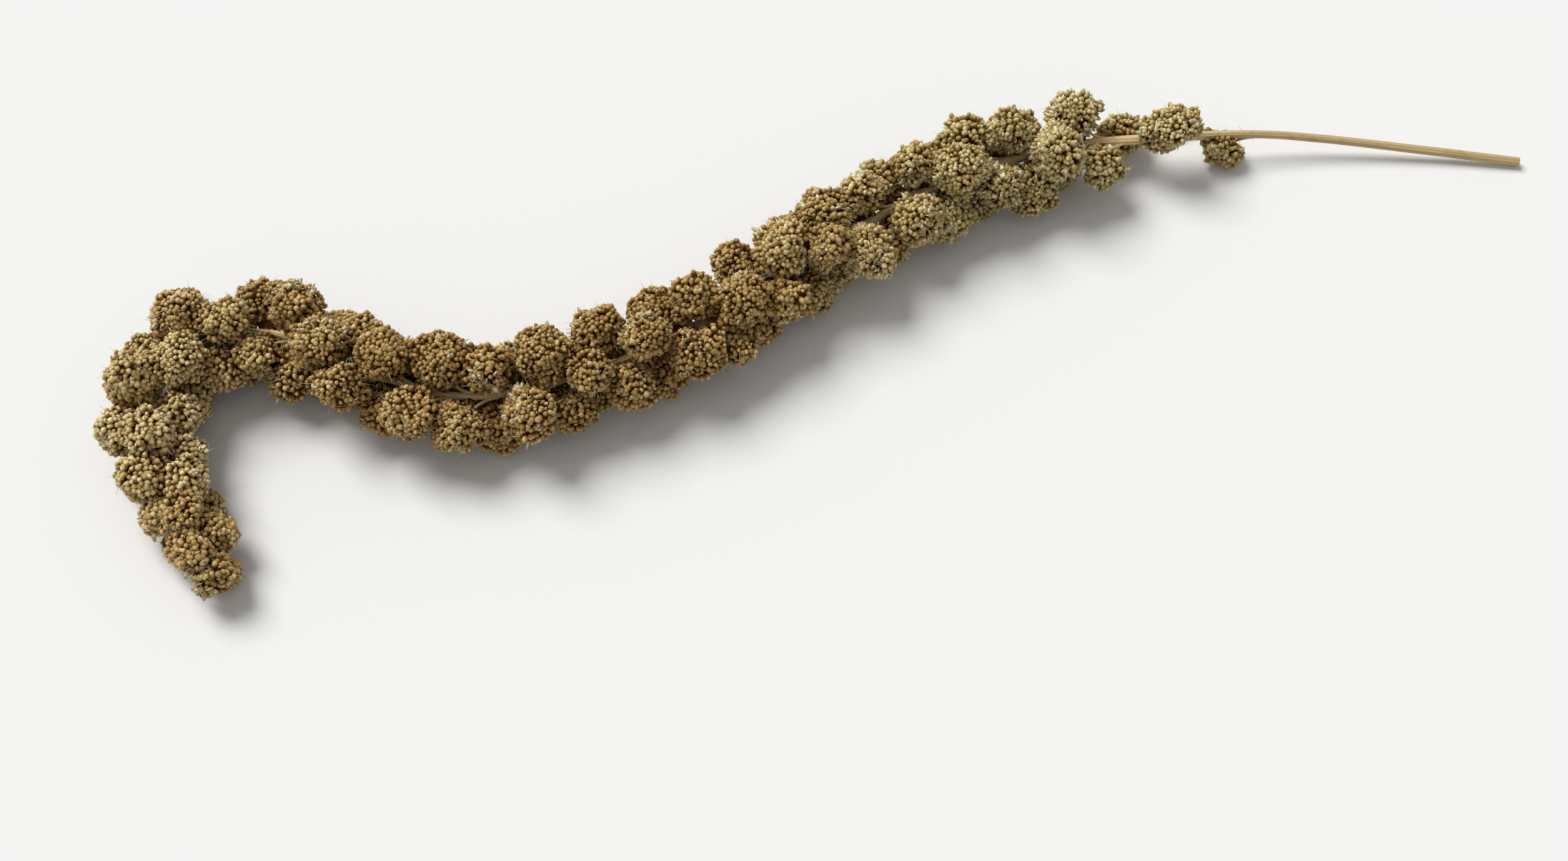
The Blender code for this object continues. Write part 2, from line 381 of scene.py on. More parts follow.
def grow_lobes(line: Line, rule: Growth) -> list[Lobe]:
    """Lobes up the rachis, each turned by the golden angle from the last, and one on its end.

    Args:
        line: The spray's line.
        rule: How lobes grow.

    Returns:
        The lobes, in order along the head.
    """
    draw = random.Random(rule.seed)
    lobes = []
    station, turn = rule.first_station, rule.first_turn
    last = line.end - rule.last_room * rule.radius.tip
    while station < last:
        lobes.append(Lobe(line, rule, station, turn + draw.uniform(-1, 1) * rule.turn_spread, draw))
        station += line.size(station, rule.step) * draw.uniform(*rule.step_range)
        turn += rule.golden_angle
    settle(lobes, rule)
    end_lobe = Lobe(line, rule, line.end - rule.radius.tip, 0, draw)
    end_lobe.reach = rule.end_reach
    lobes.append(end_lobe)
    for lobe in lobes:
        lobe.press()
        lobe.kept = lobe.place()
    return lobes


def settle(lobes: list[Lobe], rule: Growth) -> None:
    """Neighbours that crowd each other move apart along the rachis and round it.

    Args:
        lobes: The lobes, which are moved.
        rule: How lobes grow.
    """
    for _ in range(rule.push_rounds):
        for lobe in lobes:
            lobe.keep_off_parting()
        places = [lobe.place() for lobe in lobes]
        for i, lobe in enumerate(lobes):
            for j in range(i + 1, min(i + rule.neighbours, len(lobes))):
                other = lobes[j]
                apart = places[i][1] - places[j][1]
                short = rule.closest * (lobe.radius + other.radius) - apart.length
                if short <= 0:
                    continue
                push = apart.normalized() * short * rule.push_share
                lobe.nudge(push)
                other.nudge(-push)


class Nodes:
    """A node tree in the making: adds nodes with their settings and what feeds them."""

    def __init__(self, tree: bpy.types.NodeTree) -> None:
        """Starts on an empty tree."""
        self.tree = tree
        tree.nodes.clear()

    def add(self, kind: str, feeds: dict | None = None, **settings: object) -> bpy.types.Node:
        """Adds a node.

        Args:
            kind: Blender's type name for the node.
            feeds: What feeds each input, by its name or number: an output of another node, or a plain value.
            **settings: The node's own settings.

        Returns:
            The node.
        """
        node = self.tree.nodes.new(kind)
        for name, value in settings.items():
            setattr(node, name, value)
        for key, value in (feeds or {}).items():
            if isinstance(value, Socket):
                self.tree.links.new(value, node.inputs[key])
            else:
                node.inputs[key].default_value = value
        return node

    def math(self, operation: str, *values: object, clamp: bool = False) -> Socket:
        """A number worked out from others, each an output or a plain number."""
        feeds = dict(enumerate(values))
        return self.add("ShaderNodeMath", feeds, operation=operation, use_clamp=clamp).outputs[0]

    def vector(self, operation: str, *values: object) -> Socket:
        """A vector worked out from others, each an output or a plain vector."""
        return self.add("ShaderNodeVectorMath", dict(enumerate(values)), operation=operation).outputs[0]

    def between(self, value: object, low: object, high: object) -> Socket:
        """A value's smooth share of the way from low to high."""
        feeds = {"Value": value, "From Min": low, "From Max": high}
        return self.add("ShaderNodeMapRange", feeds, interpolation_type="SMOOTHSTEP").outputs[0]

    def blend(self, share: object, first: object, second: object) -> Socket:
        """The colour at a share of the way from the first to the second."""
        feeds = {0: share, 6: first, 7: second}
        return self.add("ShaderNodeMix", feeds, data_type="RGBA").outputs[2]

    def shade(self, colour: object, factor: object) -> Socket:
        """A colour times a number."""
        return self.add("ShaderNodeVectorMath", {0: colour, "Scale": factor}, operation="SCALE").outputs[0]

    def rest(self, value: object) -> Socket:
        """What a value leaves of 1."""
        return self.math("SUBTRACT", 1.0, value)

    def noise(self, place: object, scale: object, detail: float) -> Socket:
        """A noise from 0 to 1 at a place."""
        feeds = {"Vector": place, "Scale": scale, "Detail": detail}
        return self.add("ShaderNodeTexNoise", feeds).outputs[0]

    def raised(self, height: object, strength: float, depth: float) -> Socket:
        """The normal of a surface that is raised by a height, up to a depth in metres."""
        feeds = {"Strength": strength, "Distance": depth, "Height": height}
        return self.add("ShaderNodeBump", feeds).outputs[0]

    def parts(self, value: object) -> tuple[Socket, ...]:
        """A vector's three numbers."""
        return tuple(self.add("ShaderNodeSeparateXYZ", {0: value}).outputs)

    def joined(self, x: object, y: object, z: object = 0.0) -> Socket:
        """A vector of three numbers."""
        return self.add("ShaderNodeCombineXYZ", {0: x, 1: y, 2: z}).outputs[0]


def opaque(colour: Colour) -> tuple[float, float, float, float]:
    """A colour with full alpha, as a colour socket takes it."""
    return (*colour, 1.0)


class Effect:
    """Shader node groups that finishes take their effects from, each built once."""

    FINER = 5.0

    @staticmethod
    def group(name: str, inputs: dict[str, float], output: str) -> tuple[Nodes, bpy.types.Node]:
        """Starts a node group with one vector input, named numbers and one output.

        Args:
            name: The group's name.
            inputs: Its numbers, with their usual values.
            output: The name of its output.

        Returns:
            The group in the making, and its input node.
        """
        tree = bpy.data.node_groups.new(name, "ShaderNodeTree")
        tree.interface.new_socket(name="Place", in_out="INPUT", socket_type="NodeSocketVector")
        for label, value in inputs.items():
            socket = tree.interface.new_socket(name=label, in_out="INPUT", socket_type="NodeSocketFloat")
            socket.default_value = value
        tree.interface.new_socket(name=output, in_out="OUTPUT", socket_type="NodeSocketFloat")
        nodes = Nodes(tree)
        return nodes, nodes.add("NodeGroupInput")

    @classmethod
    def fibres(cls) -> bpy.types.NodeTree:
        """Streaks that run with the growth of a stalk, from its own map of turns and lengths.

        Returns:
            The group. Its output is near 0 in a groove and near 1 on a rib.
        """
        name = "fibres"
        if name in bpy.data.node_groups:
            return bpy.data.node_groups[name]
        nodes, given = cls.group(name, {"Fineness": 6.0, "Length": 30.0, "Contrast": 1.0}, "Rib")
        turn, way, _ = nodes.parts(given.outputs["Place"])
        angle = nodes.math("MULTIPLY", turn, math.tau)
        round_x = nodes.math("MULTIPLY", nodes.math("COSINE", angle), given.outputs["Fineness"])
        round_y = nodes.math("MULTIPLY", nodes.math("SINE", angle), given.outputs["Fineness"])
        slow = nodes.math("MULTIPLY", way, given.outputs["Length"])
        streak = nodes.noise(nodes.joined(round_x, round_y, slow), scale=1.0, detail=4.0)
        centred = nodes.math("SUBTRACT", streak, 0.5)
        rib = nodes.math("MULTIPLY_ADD", centred, given.outputs["Contrast"], 0.5, clamp=True)
        nodes.add("NodeGroupOutput", {"Rib": rib})
        return nodes.tree

    @classmethod
    def mottle(cls) -> bpy.types.NodeTree:
        """Soft patches of two sizes, as on anything that has dried unevenly.

        Returns:
            The group. Its output runs from 0 to 1.
        """
        name = "mottle"
        if name in bpy.data.node_groups:
            return bpy.data.node_groups[name]
        nodes, given = cls.group(name, {"Scale": 200.0, "Fine share": 0.4}, "Patch")
        coarse = nodes.noise(given.outputs["Place"], scale=given.outputs["Scale"], detail=2.0)
        finer = nodes.math("MULTIPLY", given.outputs["Scale"], cls.FINER)
        fine = nodes.noise(given.outputs["Place"], scale=finer, detail=3.0)
        spread = nodes.math("SUBTRACT", fine, coarse)
        part = nodes.math("MULTIPLY", spread, given.outputs["Fine share"])
        nodes.add("NodeGroupOutput", {"Patch": nodes.math("ADD", coarse, part, clamp=True)})
        return nodes.tree


def new_material(name: str) -> tuple[bpy.types.Material, Nodes]:
    """A material whose tree is still empty.

    Args:
        name: The material's name.

    Returns:
        The material, and its tree in the making.
    """
    material = bpy.data.materials.new(name)
    material.use_nodes = True
    return material, Nodes(material.node_tree)


def finish_material(nodes: Nodes, feeds: dict) -> None:
    """Ends a material in a Principled shader.

    Args:
        nodes: The material's tree in the making.
        feeds: What feeds the shader, by input name.
    """
    shader = nodes.add("ShaderNodeBsdfPrincipled", feeds)
    nodes.add("ShaderNodeOutputMaterial", {"Surface": shader.outputs[0]})


@dataclass(frozen=True)
class HullFinish:
    """The dry hull of a seed. Its map is a sheet of styles: greener to the right, lighter upwards.

    A way is measured down the seed, from 0 at its tip to 1 at its root. The lightness holds each seed's own
    tone and the painted shade of the valleys between lobes. Towards its root each seed is darkened by painted
    shade.
    """

    name: str = "seed_hull"
    russet: Colour = (0.52, 0.345, 0.12)
    tan: Colour = (0.52, 0.37, 0.135)
    olive: Colour = (0.5, 0.415, 0.16)
    # Painted highlight: light seeds are paled at their tips, which face out towards the light; partly it is
    # the hull's own paler tip.
    bleached: Colour = (0.67, 0.565, 0.32)
    bleached_lights: Span = (0.45, 1.0)
    bleached_way: Span = (0.05, 0.55)
    bleached_most: float = 0.8
    bleached_tip: float = 0.6
    # Painted shade: the lower part of each seed is darkened to a saturated brown, as if in the shadow of its
    # neighbours.
    deep: Colour = (0.44, 0.215, 0.04)
    deep_way: Span = (0.24, 0.7)
    darkest: float = 0.58
    lightest: float = 1.2
    # Darker tones, the painted shade among them, turn browner: the powers of the darkening for red, green and
    # blue.
    fading: Colour = (1.0, 1.2, 1.6)
    seam_shade: float = 0.7
    seam_edge: Span = (0.02, 0.2)
    seam_way: Span = (0.1, 0.35)
    veins: float = 10.0
    vein_share: float = 0.1
    vein_height: float = 0.3
    speck_scale: float = 90.0
    speck_share: float = 0.5
    speck_roughness: float = 0.12
    roughness: float = 0.38
    root_roughness: float = 0.25
    root_way: Span = (0.45, 1.0)
    gloss: float = 0.25
    bump: float = 0.25
    bump_depth: float = 0.05 * MM

    def material(self) -> bpy.types.Material:
        """The finish as a material that reads the style map alone.

        Returns:
            The material.
        """
        material, nodes = new_material(self.name)
        sheet = nodes.add("ShaderNodeUVMap", uv_map=STYLE_MAP).outputs[0]
        grown = nodes.shade(sheet, float(STYLES))
        column, row, _ = nodes.parts(nodes.vector("FLOOR", grown))
        green = nodes.math("DIVIDE", column, STYLES - 1)
        light = nodes.math("DIVIDE", row, STYLES - 1)
        x, y, _ = nodes.parts(nodes.vector("FRACTION", grown))
        x = nodes.math("SUBTRACT", x, 0.5)
        y = nodes.math("SUBTRACT", y, 0.5)
        squares = nodes.math("ADD", nodes.math("MULTIPLY", x, x), nodes.math("MULTIPLY", y, y))
        down = nodes.math("MULTIPLY", nodes.math("SQRT", squares), 2.0)
        turn = nodes.math("ARCTAN2", y, x)
        speck = nodes.noise(sheet, scale=self.speck_scale, detail=3.0)
        seam = nodes.between(nodes.math("ABSOLUTE", nodes.math("SINE", turn)), *self.seam_edge)
        seam = nodes.math("MULTIPLY", nodes.rest(seam), nodes.between(down, *self.seam_way))
        vein = nodes.math("SINE", nodes.math("MULTIPLY", turn, self.veins))
        factor = nodes.math("MULTIPLY_ADD", light, self.lightest - self.darkest, self.darkest)
        marks = (
            (seam, self.seam_shade - 1, 1.0),
            (vein, self.vein_share, 1.0),
            (speck, self.speck_share, 1 - self.speck_share / 2),
        )
        for mark, share, base in marks:
            factor = nodes.math("MULTIPLY", factor, nodes.math("MULTIPLY_ADD", mark, share, base))
        colour = self.skin_colour(nodes, green, light, down)
        # Painted shade: each seed darkens and browns towards its root, where its neighbours shade it.
        root = nodes.between(down, *self.deep_way)
        colour = nodes.blend(root, colour, nodes.vector("MULTIPLY", colour, self.deep))
        # The darkening, painted shade included, grows browner as it deepens.
        shades = [nodes.math("POWER", factor, power) for power in self.fading]
        colour = nodes.vector("MULTIPLY", colour, nodes.joined(*shades))
        low = nodes.between(down, *self.root_way)
        rough = nodes.math("MULTIPLY_ADD", low, self.root_roughness, self.roughness)
        rough = nodes.math("MULTIPLY_ADD", speck, self.speck_roughness, rough)
        height = nodes.math("SUBTRACT", nodes.math("MULTIPLY", vein, self.vein_height), seam)
        normal = nodes.raised(height, self.bump, self.bump_depth)
        feeds = {"Base Color": colour, "Roughness": rough, "Normal": normal}
        finish_material(nodes, {**feeds, "Specular IOR Level": self.gloss})
        return material

    def skin_colour(self, nodes: Nodes, green: Socket, light: Socket, down: Socket) -> Socket:
        """The hull's colour before its shades: by its greenness, and paled at the tip of a light seed, partly
        its own paler hull and partly a painted highlight.

        Args:
            nodes: The material's tree in the making.
            green: How green the style is, from 0 to 1.
            light: How light the style is, from 0 to 1.
            down: The way down from the seed's tip, from 0 to 1.

        Returns:
            The colour.
        """
        low_half = nodes.math("MULTIPLY", green, 2.0, clamp=True)
        high_half = nodes.math("MULTIPLY_ADD", green, 2.0, -1.0, clamp=True)
        colour = nodes.blend(low_half, opaque(self.russet), opaque(self.tan))
        colour = nodes.blend(high_half, colour, opaque(self.olive))
        # Painted highlight on the tip of a light seed, together with the hull's own paler tip.
        near_tip = nodes.rest(nodes.between(down, *self.bleached_way))
        by_tip = nodes.math("MULTIPLY_ADD", near_tip, self.bleached_tip, 1 - self.bleached_tip)
        pale = nodes.math("MULTIPLY", nodes.between(light, *self.bleached_lights), self.bleached_most)
        return nodes.blend(nodes.math("MULTIPLY", by_tip, pale), colour, opaque(self.bleached))


@dataclass(frozen=True)
class HuskFinish:
    """Papery husks and bristles. Their map runs from root to tip upwards, and from dark to pale sideways."""

    name: str
    dark: Colour
    pale: Colour
    root: Colour
    root_until: float = 0.5
    flecks_across: float = 40.0
    fleck_scale: float = 6.0
    fleck_share: float = 0.4
    fleck_roughness: float = 0.15
    roughness: float = 0.55

    def material(self) -> bpy.types.Material:
        """The finish as a material that reads the style map alone.

        Returns:
            The material.
        """
        material, nodes = new_material(self.name)
        sheet = nodes.add("ShaderNodeUVMap", uv_map=STYLE_MAP).outputs[0]
        tone, way, _ = nodes.parts(sheet)
        body = nodes.blend(tone, opaque(self.dark), opaque(self.pale))
        colour = nodes.blend(nodes.between(way, 0.0, self.root_until), opaque(self.root), body)
        across = nodes.math("MULTIPLY", tone, self.flecks_across)
        fleck = nodes.noise(nodes.joined(across, way), scale=self.fleck_scale, detail=3.0)
        shade = nodes.math("MULTIPLY_ADD", fleck, self.fleck_share, 1 - self.fleck_share / 2)
        rough = nodes.math("MULTIPLY_ADD", fleck, self.fleck_roughness, self.roughness)
        finish_material(nodes, {"Base Color": nodes.shade(colour, shade), "Roughness": rough})
        return material


@dataclass(frozen=True)
class CoreFinish:
    """The brown depth between the seeds of a lobe, with the rounds of deeper seeds, coloured as painted
    shade.
    """

    name: str = "lobe_core"
    # Painted shade: the core takes the colours of the shadow between the seeds.
    dark: Colour = (0.07, 0.024, 0.003)
    pale: Colour = (0.3, 0.16, 0.035)
    seeds_per_metre: float = 560.0
    seed_edge: Span = (0.1, 0.65)
    patch_scale: float = 400.0
    patch_share: float = 0.8
    least_share: float = 0.3
    patch_roughness: float = 0.1
    roughness: float = 0.85
    gloss: float = 0.1
    bump: float = 0.8
    bump_depth: float = 0.4 * MM

    def material(self) -> bpy.types.Material:
        """The finish as a material on Object coordinates.

        Returns:
            The material.
        """
        material, nodes = new_material(self.name)
        place = nodes.add("ShaderNodeTexCoord").outputs["Object"]
        feeds = {"Place": place, "Scale": self.patch_scale}
        patch = nodes.add("ShaderNodeGroup", feeds, node_tree=Effect.mottle()).outputs[0]
        cells = nodes.add("ShaderNodeTexVoronoi", {"Vector": place, "Scale": self.seeds_per_metre})
        # Painted shade, darkest at the edges of the rounds that stand for deeper seeds.
        mound = nodes.rest(nodes.between(cells.outputs["Distance"], *self.seed_edge))
        by_patch = nodes.math("MULTIPLY_ADD", patch, self.patch_share, self.least_share)
        colour = nodes.blend(nodes.math("MULTIPLY", mound, by_patch), opaque(self.dark), opaque(self.pale))
        rough = nodes.math("MULTIPLY_ADD", patch, self.patch_roughness, self.roughness)
        normal = nodes.raised(mound, self.bump, self.bump_depth)
        feeds = {"Base Color": colour, "Roughness": rough, "Normal": normal}
        finish_material(nodes, {**feeds, "Specular IOR Level": self.gloss})
        return material


@dataclass(frozen=True)
class StrawFinish:
    """Dry stalk: streaks of pale and brown fibre along it, with darker patches where it has weathered.

    Inside the head it is paler, as painted light on a rachis that lies in the shade of the lobes, and it has
    fewer stains.
    """

    name: str = "straw"
    pale: Colour = (0.62, 0.48, 0.235)
    brown: Colour = (0.36, 0.235, 0.095)
    # Painted light: the rachis inside the head is paler than the stem, for the light it catches in the
    # partings.
    head_pale: Colour = (0.86, 0.65, 0.34)
    head_brown: Colour = (0.58, 0.38, 0.16)
    head_edge: Span = (-4 * MM, 45 * MM)
    stain: Colour = (0.2, 0.11, 0.04)
    stain_share: float = 0.45
    stain_edge: Span = (0.5, 0.75)
    cleaner_in_head: float = 0.6
    fineness: float = 6.5
    fibre_length: float = 35.0
    contrast: float = 1.9
    patch_scale: float = 90.0
    patch_roughness: float = 0.25
    roughness: float = 0.45
    bump: float = 0.5
    bump_depth: float = 0.15 * MM

    def material(self) -> bpy.types.Material:
        """The finish as a material on the stalk's own map of turns and lengths.

        Returns:
            The material.
        """
        material, nodes = new_material(self.name)
        grain = nodes.add("ShaderNodeUVMap", uv_map=GRAIN_MAP).outputs[0]
        sizes = {"Fineness": self.fineness, "Length": self.fibre_length, "Contrast": self.contrast}
        rib = nodes.add("ShaderNodeGroup", {"Place": grain, **sizes}, node_tree=Effect.fibres()).outputs[0]
        place = nodes.add("ShaderNodeTexCoord").outputs["Object"]
        feeds = {"Place": place, "Scale": self.patch_scale}
        patch = nodes.add("ShaderNodeGroup", feeds, node_tree=Effect.mottle()).outputs[0]
        _, way, _ = nodes.parts(grain)
        # Painted light: paler colours inside the head.
        inside = nodes.between(way, *self.head_edge)
        brown = nodes.blend(inside, opaque(self.brown), opaque(self.head_brown))
        pale = nodes.blend(inside, opaque(self.pale), opaque(self.head_pale))
        colour = nodes.blend(rib, brown, pale)
        most = nodes.math("MULTIPLY_ADD", inside, -self.cleaner_in_head, 1.0)
        most = nodes.math("MULTIPLY", most, self.stain_share)
        stained = nodes.math("MULTIPLY", nodes.between(patch, *self.stain_edge), most)
        colour = nodes.blend(stained, colour, opaque(self.stain))
        rough = nodes.math("MULTIPLY_ADD", patch, self.patch_roughness, self.roughness)
        normal = nodes.raised(rib, self.bump, self.bump_depth)
        finish_material(nodes, {"Base Color": colour, "Roughness": rough, "Normal": normal})
        return material


def face_outwards(mesh: bpy.types.Mesh) -> None:
    """Turns the faces of a closed mesh to look outwards.

    Args:
        mesh: The mesh.
    """
    turned = bmesh.new()
    turned.from_mesh(mesh)
    bmesh.ops.recalc_face_normals(turned, faces=turned.faces)
    turned.to_mesh(mesh)
    turned.free()


def join_on(verts: list, faces: list, more_verts: Sequence, more_faces: Sequence) -> None:
    """Adds the corners and faces of one more shape to those so far."""
    faces += [tuple(i + len(verts) for i in face) for face in more_faces]
    verts += more_verts


def mesh_object(name: str, verts: Sequence, faces: Sequence, smooth: bool = True) -> bpy.types.Object:
    """An object of a closed mesh whose faces all look outwards.

    Args:
        name: The object's name.
        verts: Its corners.
        faces: Its faces, as numbers of corners.
        smooth: Whether its faces are shaded smooth.

    Returns:
        The object, linked to no collection.
    """
    mesh = bpy.data.meshes.new(name)
    mesh.from_pydata([tuple(v) for v in verts], [], [tuple(f) for f in faces])
    face_outwards(mesh)
    if smooth:
        mesh.shade_smooth()
    return bpy.data.objects.new(name, mesh)


def shown(obj: bpy.types.Object, node: str) -> bpy.types.Object:
    """Makes an object a piece of the model, in place of a solid.

    Args:
        obj: The finished object.
        node: The solid that it stands for.

    Returns:
        The object.
    """
    if obj.name not in bpy.context.scene.collection.objects:
        bpy.context.scene.collection.objects.link(obj)
    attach(obj, "root")
    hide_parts(node)
    return obj


def triangles(obj: bpy.types.Object) -> int:
    """The number of triangles in an object's mesh."""
    return sum(len(face.vertices) - 2 for face in obj.data.polygons)


def tube(rings: Sequence[Sequence[Vector]], first: Vector, last: Vector) -> tuple[list, list]:
    """A closed tube through rings of corners, with a fan over each end.

    Args:
        rings: The rings, each with the same number of corners.
        first: The point that closes the first ring.
        last: The point that closes the last ring.

    Returns:
        The corners, and the faces as numbers of corners.
    """
    count = len(rings[0])
    verts = [point for ring in rings for point in ring] + [first, last]
    faces = []
    for k in range(len(rings) - 1):
        for i in range(count):
            j = (i + 1) % count
            faces.append((k * count + i, k * count + j, (k + 1) * count + j, (k + 1) * count + i))
    top = (len(rings) - 1) * count
    for i in range(count):
        j = (i + 1) % count
        faces.append((j, i, len(verts) - 2))
        faces.append((top + i, top + j, len(verts) - 1))
    return verts, faces


@dataclass
class LobeSkins:
    """The lobes' skins, set a little inside the lobes of the solid, which the seeds on them then fill.

    A fine skin, which never shows, is what small pieces are set on. A coarse one shows as the brown core,
    which is coloured as painted shade between the seeds.
    """

    line: Line
    lobes: list[Lobe]
    sides: int = 30
    ball_rings: int = 15
    tail_rings: int = 4
    core_sides: int = 14
    core_rings: int = 8
    inset: Along = Along(0.6 * MM, 0.6 * MM, 0.1 * MM)
    lump_height: float = 2.2 * MM
    lump_scale: float = 1.8
    seed_room: float = 1.4 * MM * MM
    seeds_until: float = math.radians(152)
    apart: float = 1.9 * MM
    relax_rounds: int = 9
    relax_step: float = 0.3 * MM
    least_gap: float = 0.01 * MM
    tail_start: float = math.radians(132)
    neck: float = 0.12
    neck_curve: float = 1.5
    floor_room: float = 0.45 * MM
    free_height: float = 27.0 * MM
    top_height: float = 30.6 * MM
    rachis_room: float = 2.3 * MM
    near: float = 30 * MM
    green_knots: Sequence[Span] = (
        (0, 1.0), (62, 1.0), (92, 0.9), (130, 0.62), (190, 0.42),
        (260, 0.4), (310, 0.5), (345, 0.72), (375, 0.66), (410, 0.3),
    )
    light_knots: Sequence[Span] = (
        (0, 0.74), (80, 0.64), (150, 0.54), (220, 0.48), (290, 0.5),
        (320, 0.66), (350, 0.78), (375, 0.74), (392, 0.52), (410, 0.42),
    )
    trait_seed: int = 7
    green_spread: float = 0.09
    light_spread: float = 0.1
    seed_size: Along = Along(1.0, 1.0, 1.02)
    seed_sizes: Span = (0.95, 1.06)
    # Painted shade: seeds in the valleys between lobes, near the rachis and low on a lobe get a darker,
    # browner tone.
    valley_width: float = 3.5 * MM
    valley_knots: Sequence[Span] = ((0, 0.4), (300, 0.4), (345, 0.15), (410, 0.1))
    valley_green: float = 0.5
    side_shade: float = 0.15

    def rings(self, lobe: Lobe, sides: int, ball: int, lift: float) -> tuple[Rings, Vector, Vector]:
        """The rings of one lobe, from its outer end down to the rachis.

        Args:
            lobe: The lobe.
            sides: Corners in a ring.
            ball: Rings on the ball.
            lift: The height over the skin.

        Returns:
            The rings, the lobe's outer end and its root.
        """
        place = lobe.place()
        root, _, _ = place
        turns = [i * math.tau / sides for i in range(sides)]
        rings = []
        for k in range(1, ball + 1):
            tilt = self.tail_start * k / ball
            lifts = [lift + self.lump(lobe, tilt, turn) for turn in turns]
            rings.append([lobe.surface(place, tilt, *pair) for pair in zip(turns, lifts, strict=True)])
        wide = rings[-1]
        centre = sum(wide, Vector()) / sides
        for k in range(1, self.tail_rings + 1):
            share = k / self.tail_rings
            narrow = self.neck + (1 - self.neck) * (1 - share) ** self.neck_curve
            middle = centre.lerp(root, share)
            rings.append([middle + (point - centre) * narrow for point in wide])
        return rings, lobe.surface(place, 0, 0, lift + self.lump(lobe, 0, 0)), root

    def lump(self, lobe: Lobe, tilt: float, turn: float) -> float:
        """How far a lobe's own small branchlets swell its skin here, from a base inside the solid's lobe.

        Args:
            lobe: The lobe.
            tilt: The angle from its outer end.
            turn: The turn round its axis.

        Returns:
            The swelling, below zero in a hollow.
        """
        ray = Vector((math.cos(tilt), math.sin(tilt) * math.cos(turn), math.sin(tilt) * math.sin(turn)))
        inset = self.line.size(lobe.station, self.inset)
        return self.lump_height * noise.noise(ray * self.lump_scale - lobe.spot) - inset

    def fitted(self, height: float) -> float:
        """A height on a skin, kept clear of the surface below and eased under the top.

        Args:
            height: The height.

        Returns:
            The height that is kept.
        """
        room = self.top_height - self.free_height
        over = max(0.0, height - self.free_height)
        return max(self.floor_room, height - over + room * (1 - math.exp(-over / room)))

    def openness(self, lobe: Lobe, points: np.ndarray) -> np.ndarray:
        """How far points of a lobe lie outside the other lobes and the rachis.

        Args:
            lobe: The lobe that the points are on.
            points: The points.

        Returns:
            The distance to the nearest of them, below zero inside it.
        """
        centre = lobe.place()[1]
        gap = np.full(len(points), self.near)
        for other in self.lobes:
            if other is not lobe and (other.place()[1] - centre).length < self.near:
                gap = np.minimum(gap, other.depths(points))
        beside = np.abs(self.line.stations - lobe.station) < self.near
        middle = self.line.points[beside]
        away = np.linalg.norm(points[:, None, :] - middle[None, :, :], axis=2).min(axis=1)
        return np.minimum(gap, away - self.rachis_room)

    @staticmethod
    def along(lobe: Lobe, knots: Sequence[Span]) -> float:
        """A tone at a lobe's station, from its values at stations in millimetres."""
        stations, tones = zip(*knots, strict=True)
        return float(np.interp(lobe.station / MM, stations, tones))

    def traits(self) -> Iterator[tuple[Lobe, dict[str, float]]]:
        """Each lobe with its own tone and seed size, the same on each run.

        Yields:
            The lobe and its traits.
        """
        draw = random.Random(self.trait_seed)
        for lobe in self.lobes:
            green = draw.uniform(-self.green_spread, self.green_spread)
            light = draw.uniform(-self.light_spread, self.light_spread)
            green += self.along(lobe, self.green_knots)
            light += self.along(lobe, self.light_knots)
            size = self.line.size(lobe.station, self.seed_size) * draw.uniform(*self.seed_sizes)
            yield lobe, {"green": green, "light": light, "size": size}

    def fine(self, stretch: Stretch) -> bpy.types.Object:
        """The fine skin of a stretch of the head, with the values that husks and bristles take from it.

        Args:
            stretch: The stretch.

        Returns:
            The object, with one value of each attribute for each corner.
        """
        verts, faces, values = [], [], {}
        for lobe, traits in self.traits():
            if Stretch.at(lobe.station) is not stretch:
                continue
            rings, outer, root = self.rings(lobe, self.sides, self.ball_rings, 0)
            own_verts, own_faces = tube(rings, outer, root)
            for point in own_verts:
                point.z = self.fitted(point.z)
            join_on(verts, faces, own_verts, own_faces)
            points = np.array(own_verts)
            levels = np.repeat(np.linspace(0, 1, len(rings)), self.sides)
            own = {"low": np.concatenate([levels, [0, 1]]), "open": self.openness(lobe, points)}
            self.note(values, lobe, len(points), {**traits, **own})
        obj = mesh_object(f"skin_{stretch.label}", verts, faces)
        add_values(obj, values)
        return obj

    def note(self, values: dict[str, list], lobe: Lobe, count: int, traits: dict[str, object]) -> None:
        """Adds the values that points of a lobe carry.

        Args:
            values: The arrays so far, by name.
            lobe: The lobe.
            count: The number of points.
            traits: One value for all the points, or one for each, by name.
        """
        growth = np.array(self.line.frame(lobe.station)[0])
        for label, value in {"growth": np.tile(growth, (count, 1)), **traits}.items():
            array = value if isinstance(value, np.ndarray) else np.full(count, value)
            values.setdefault(label, []).append(array)

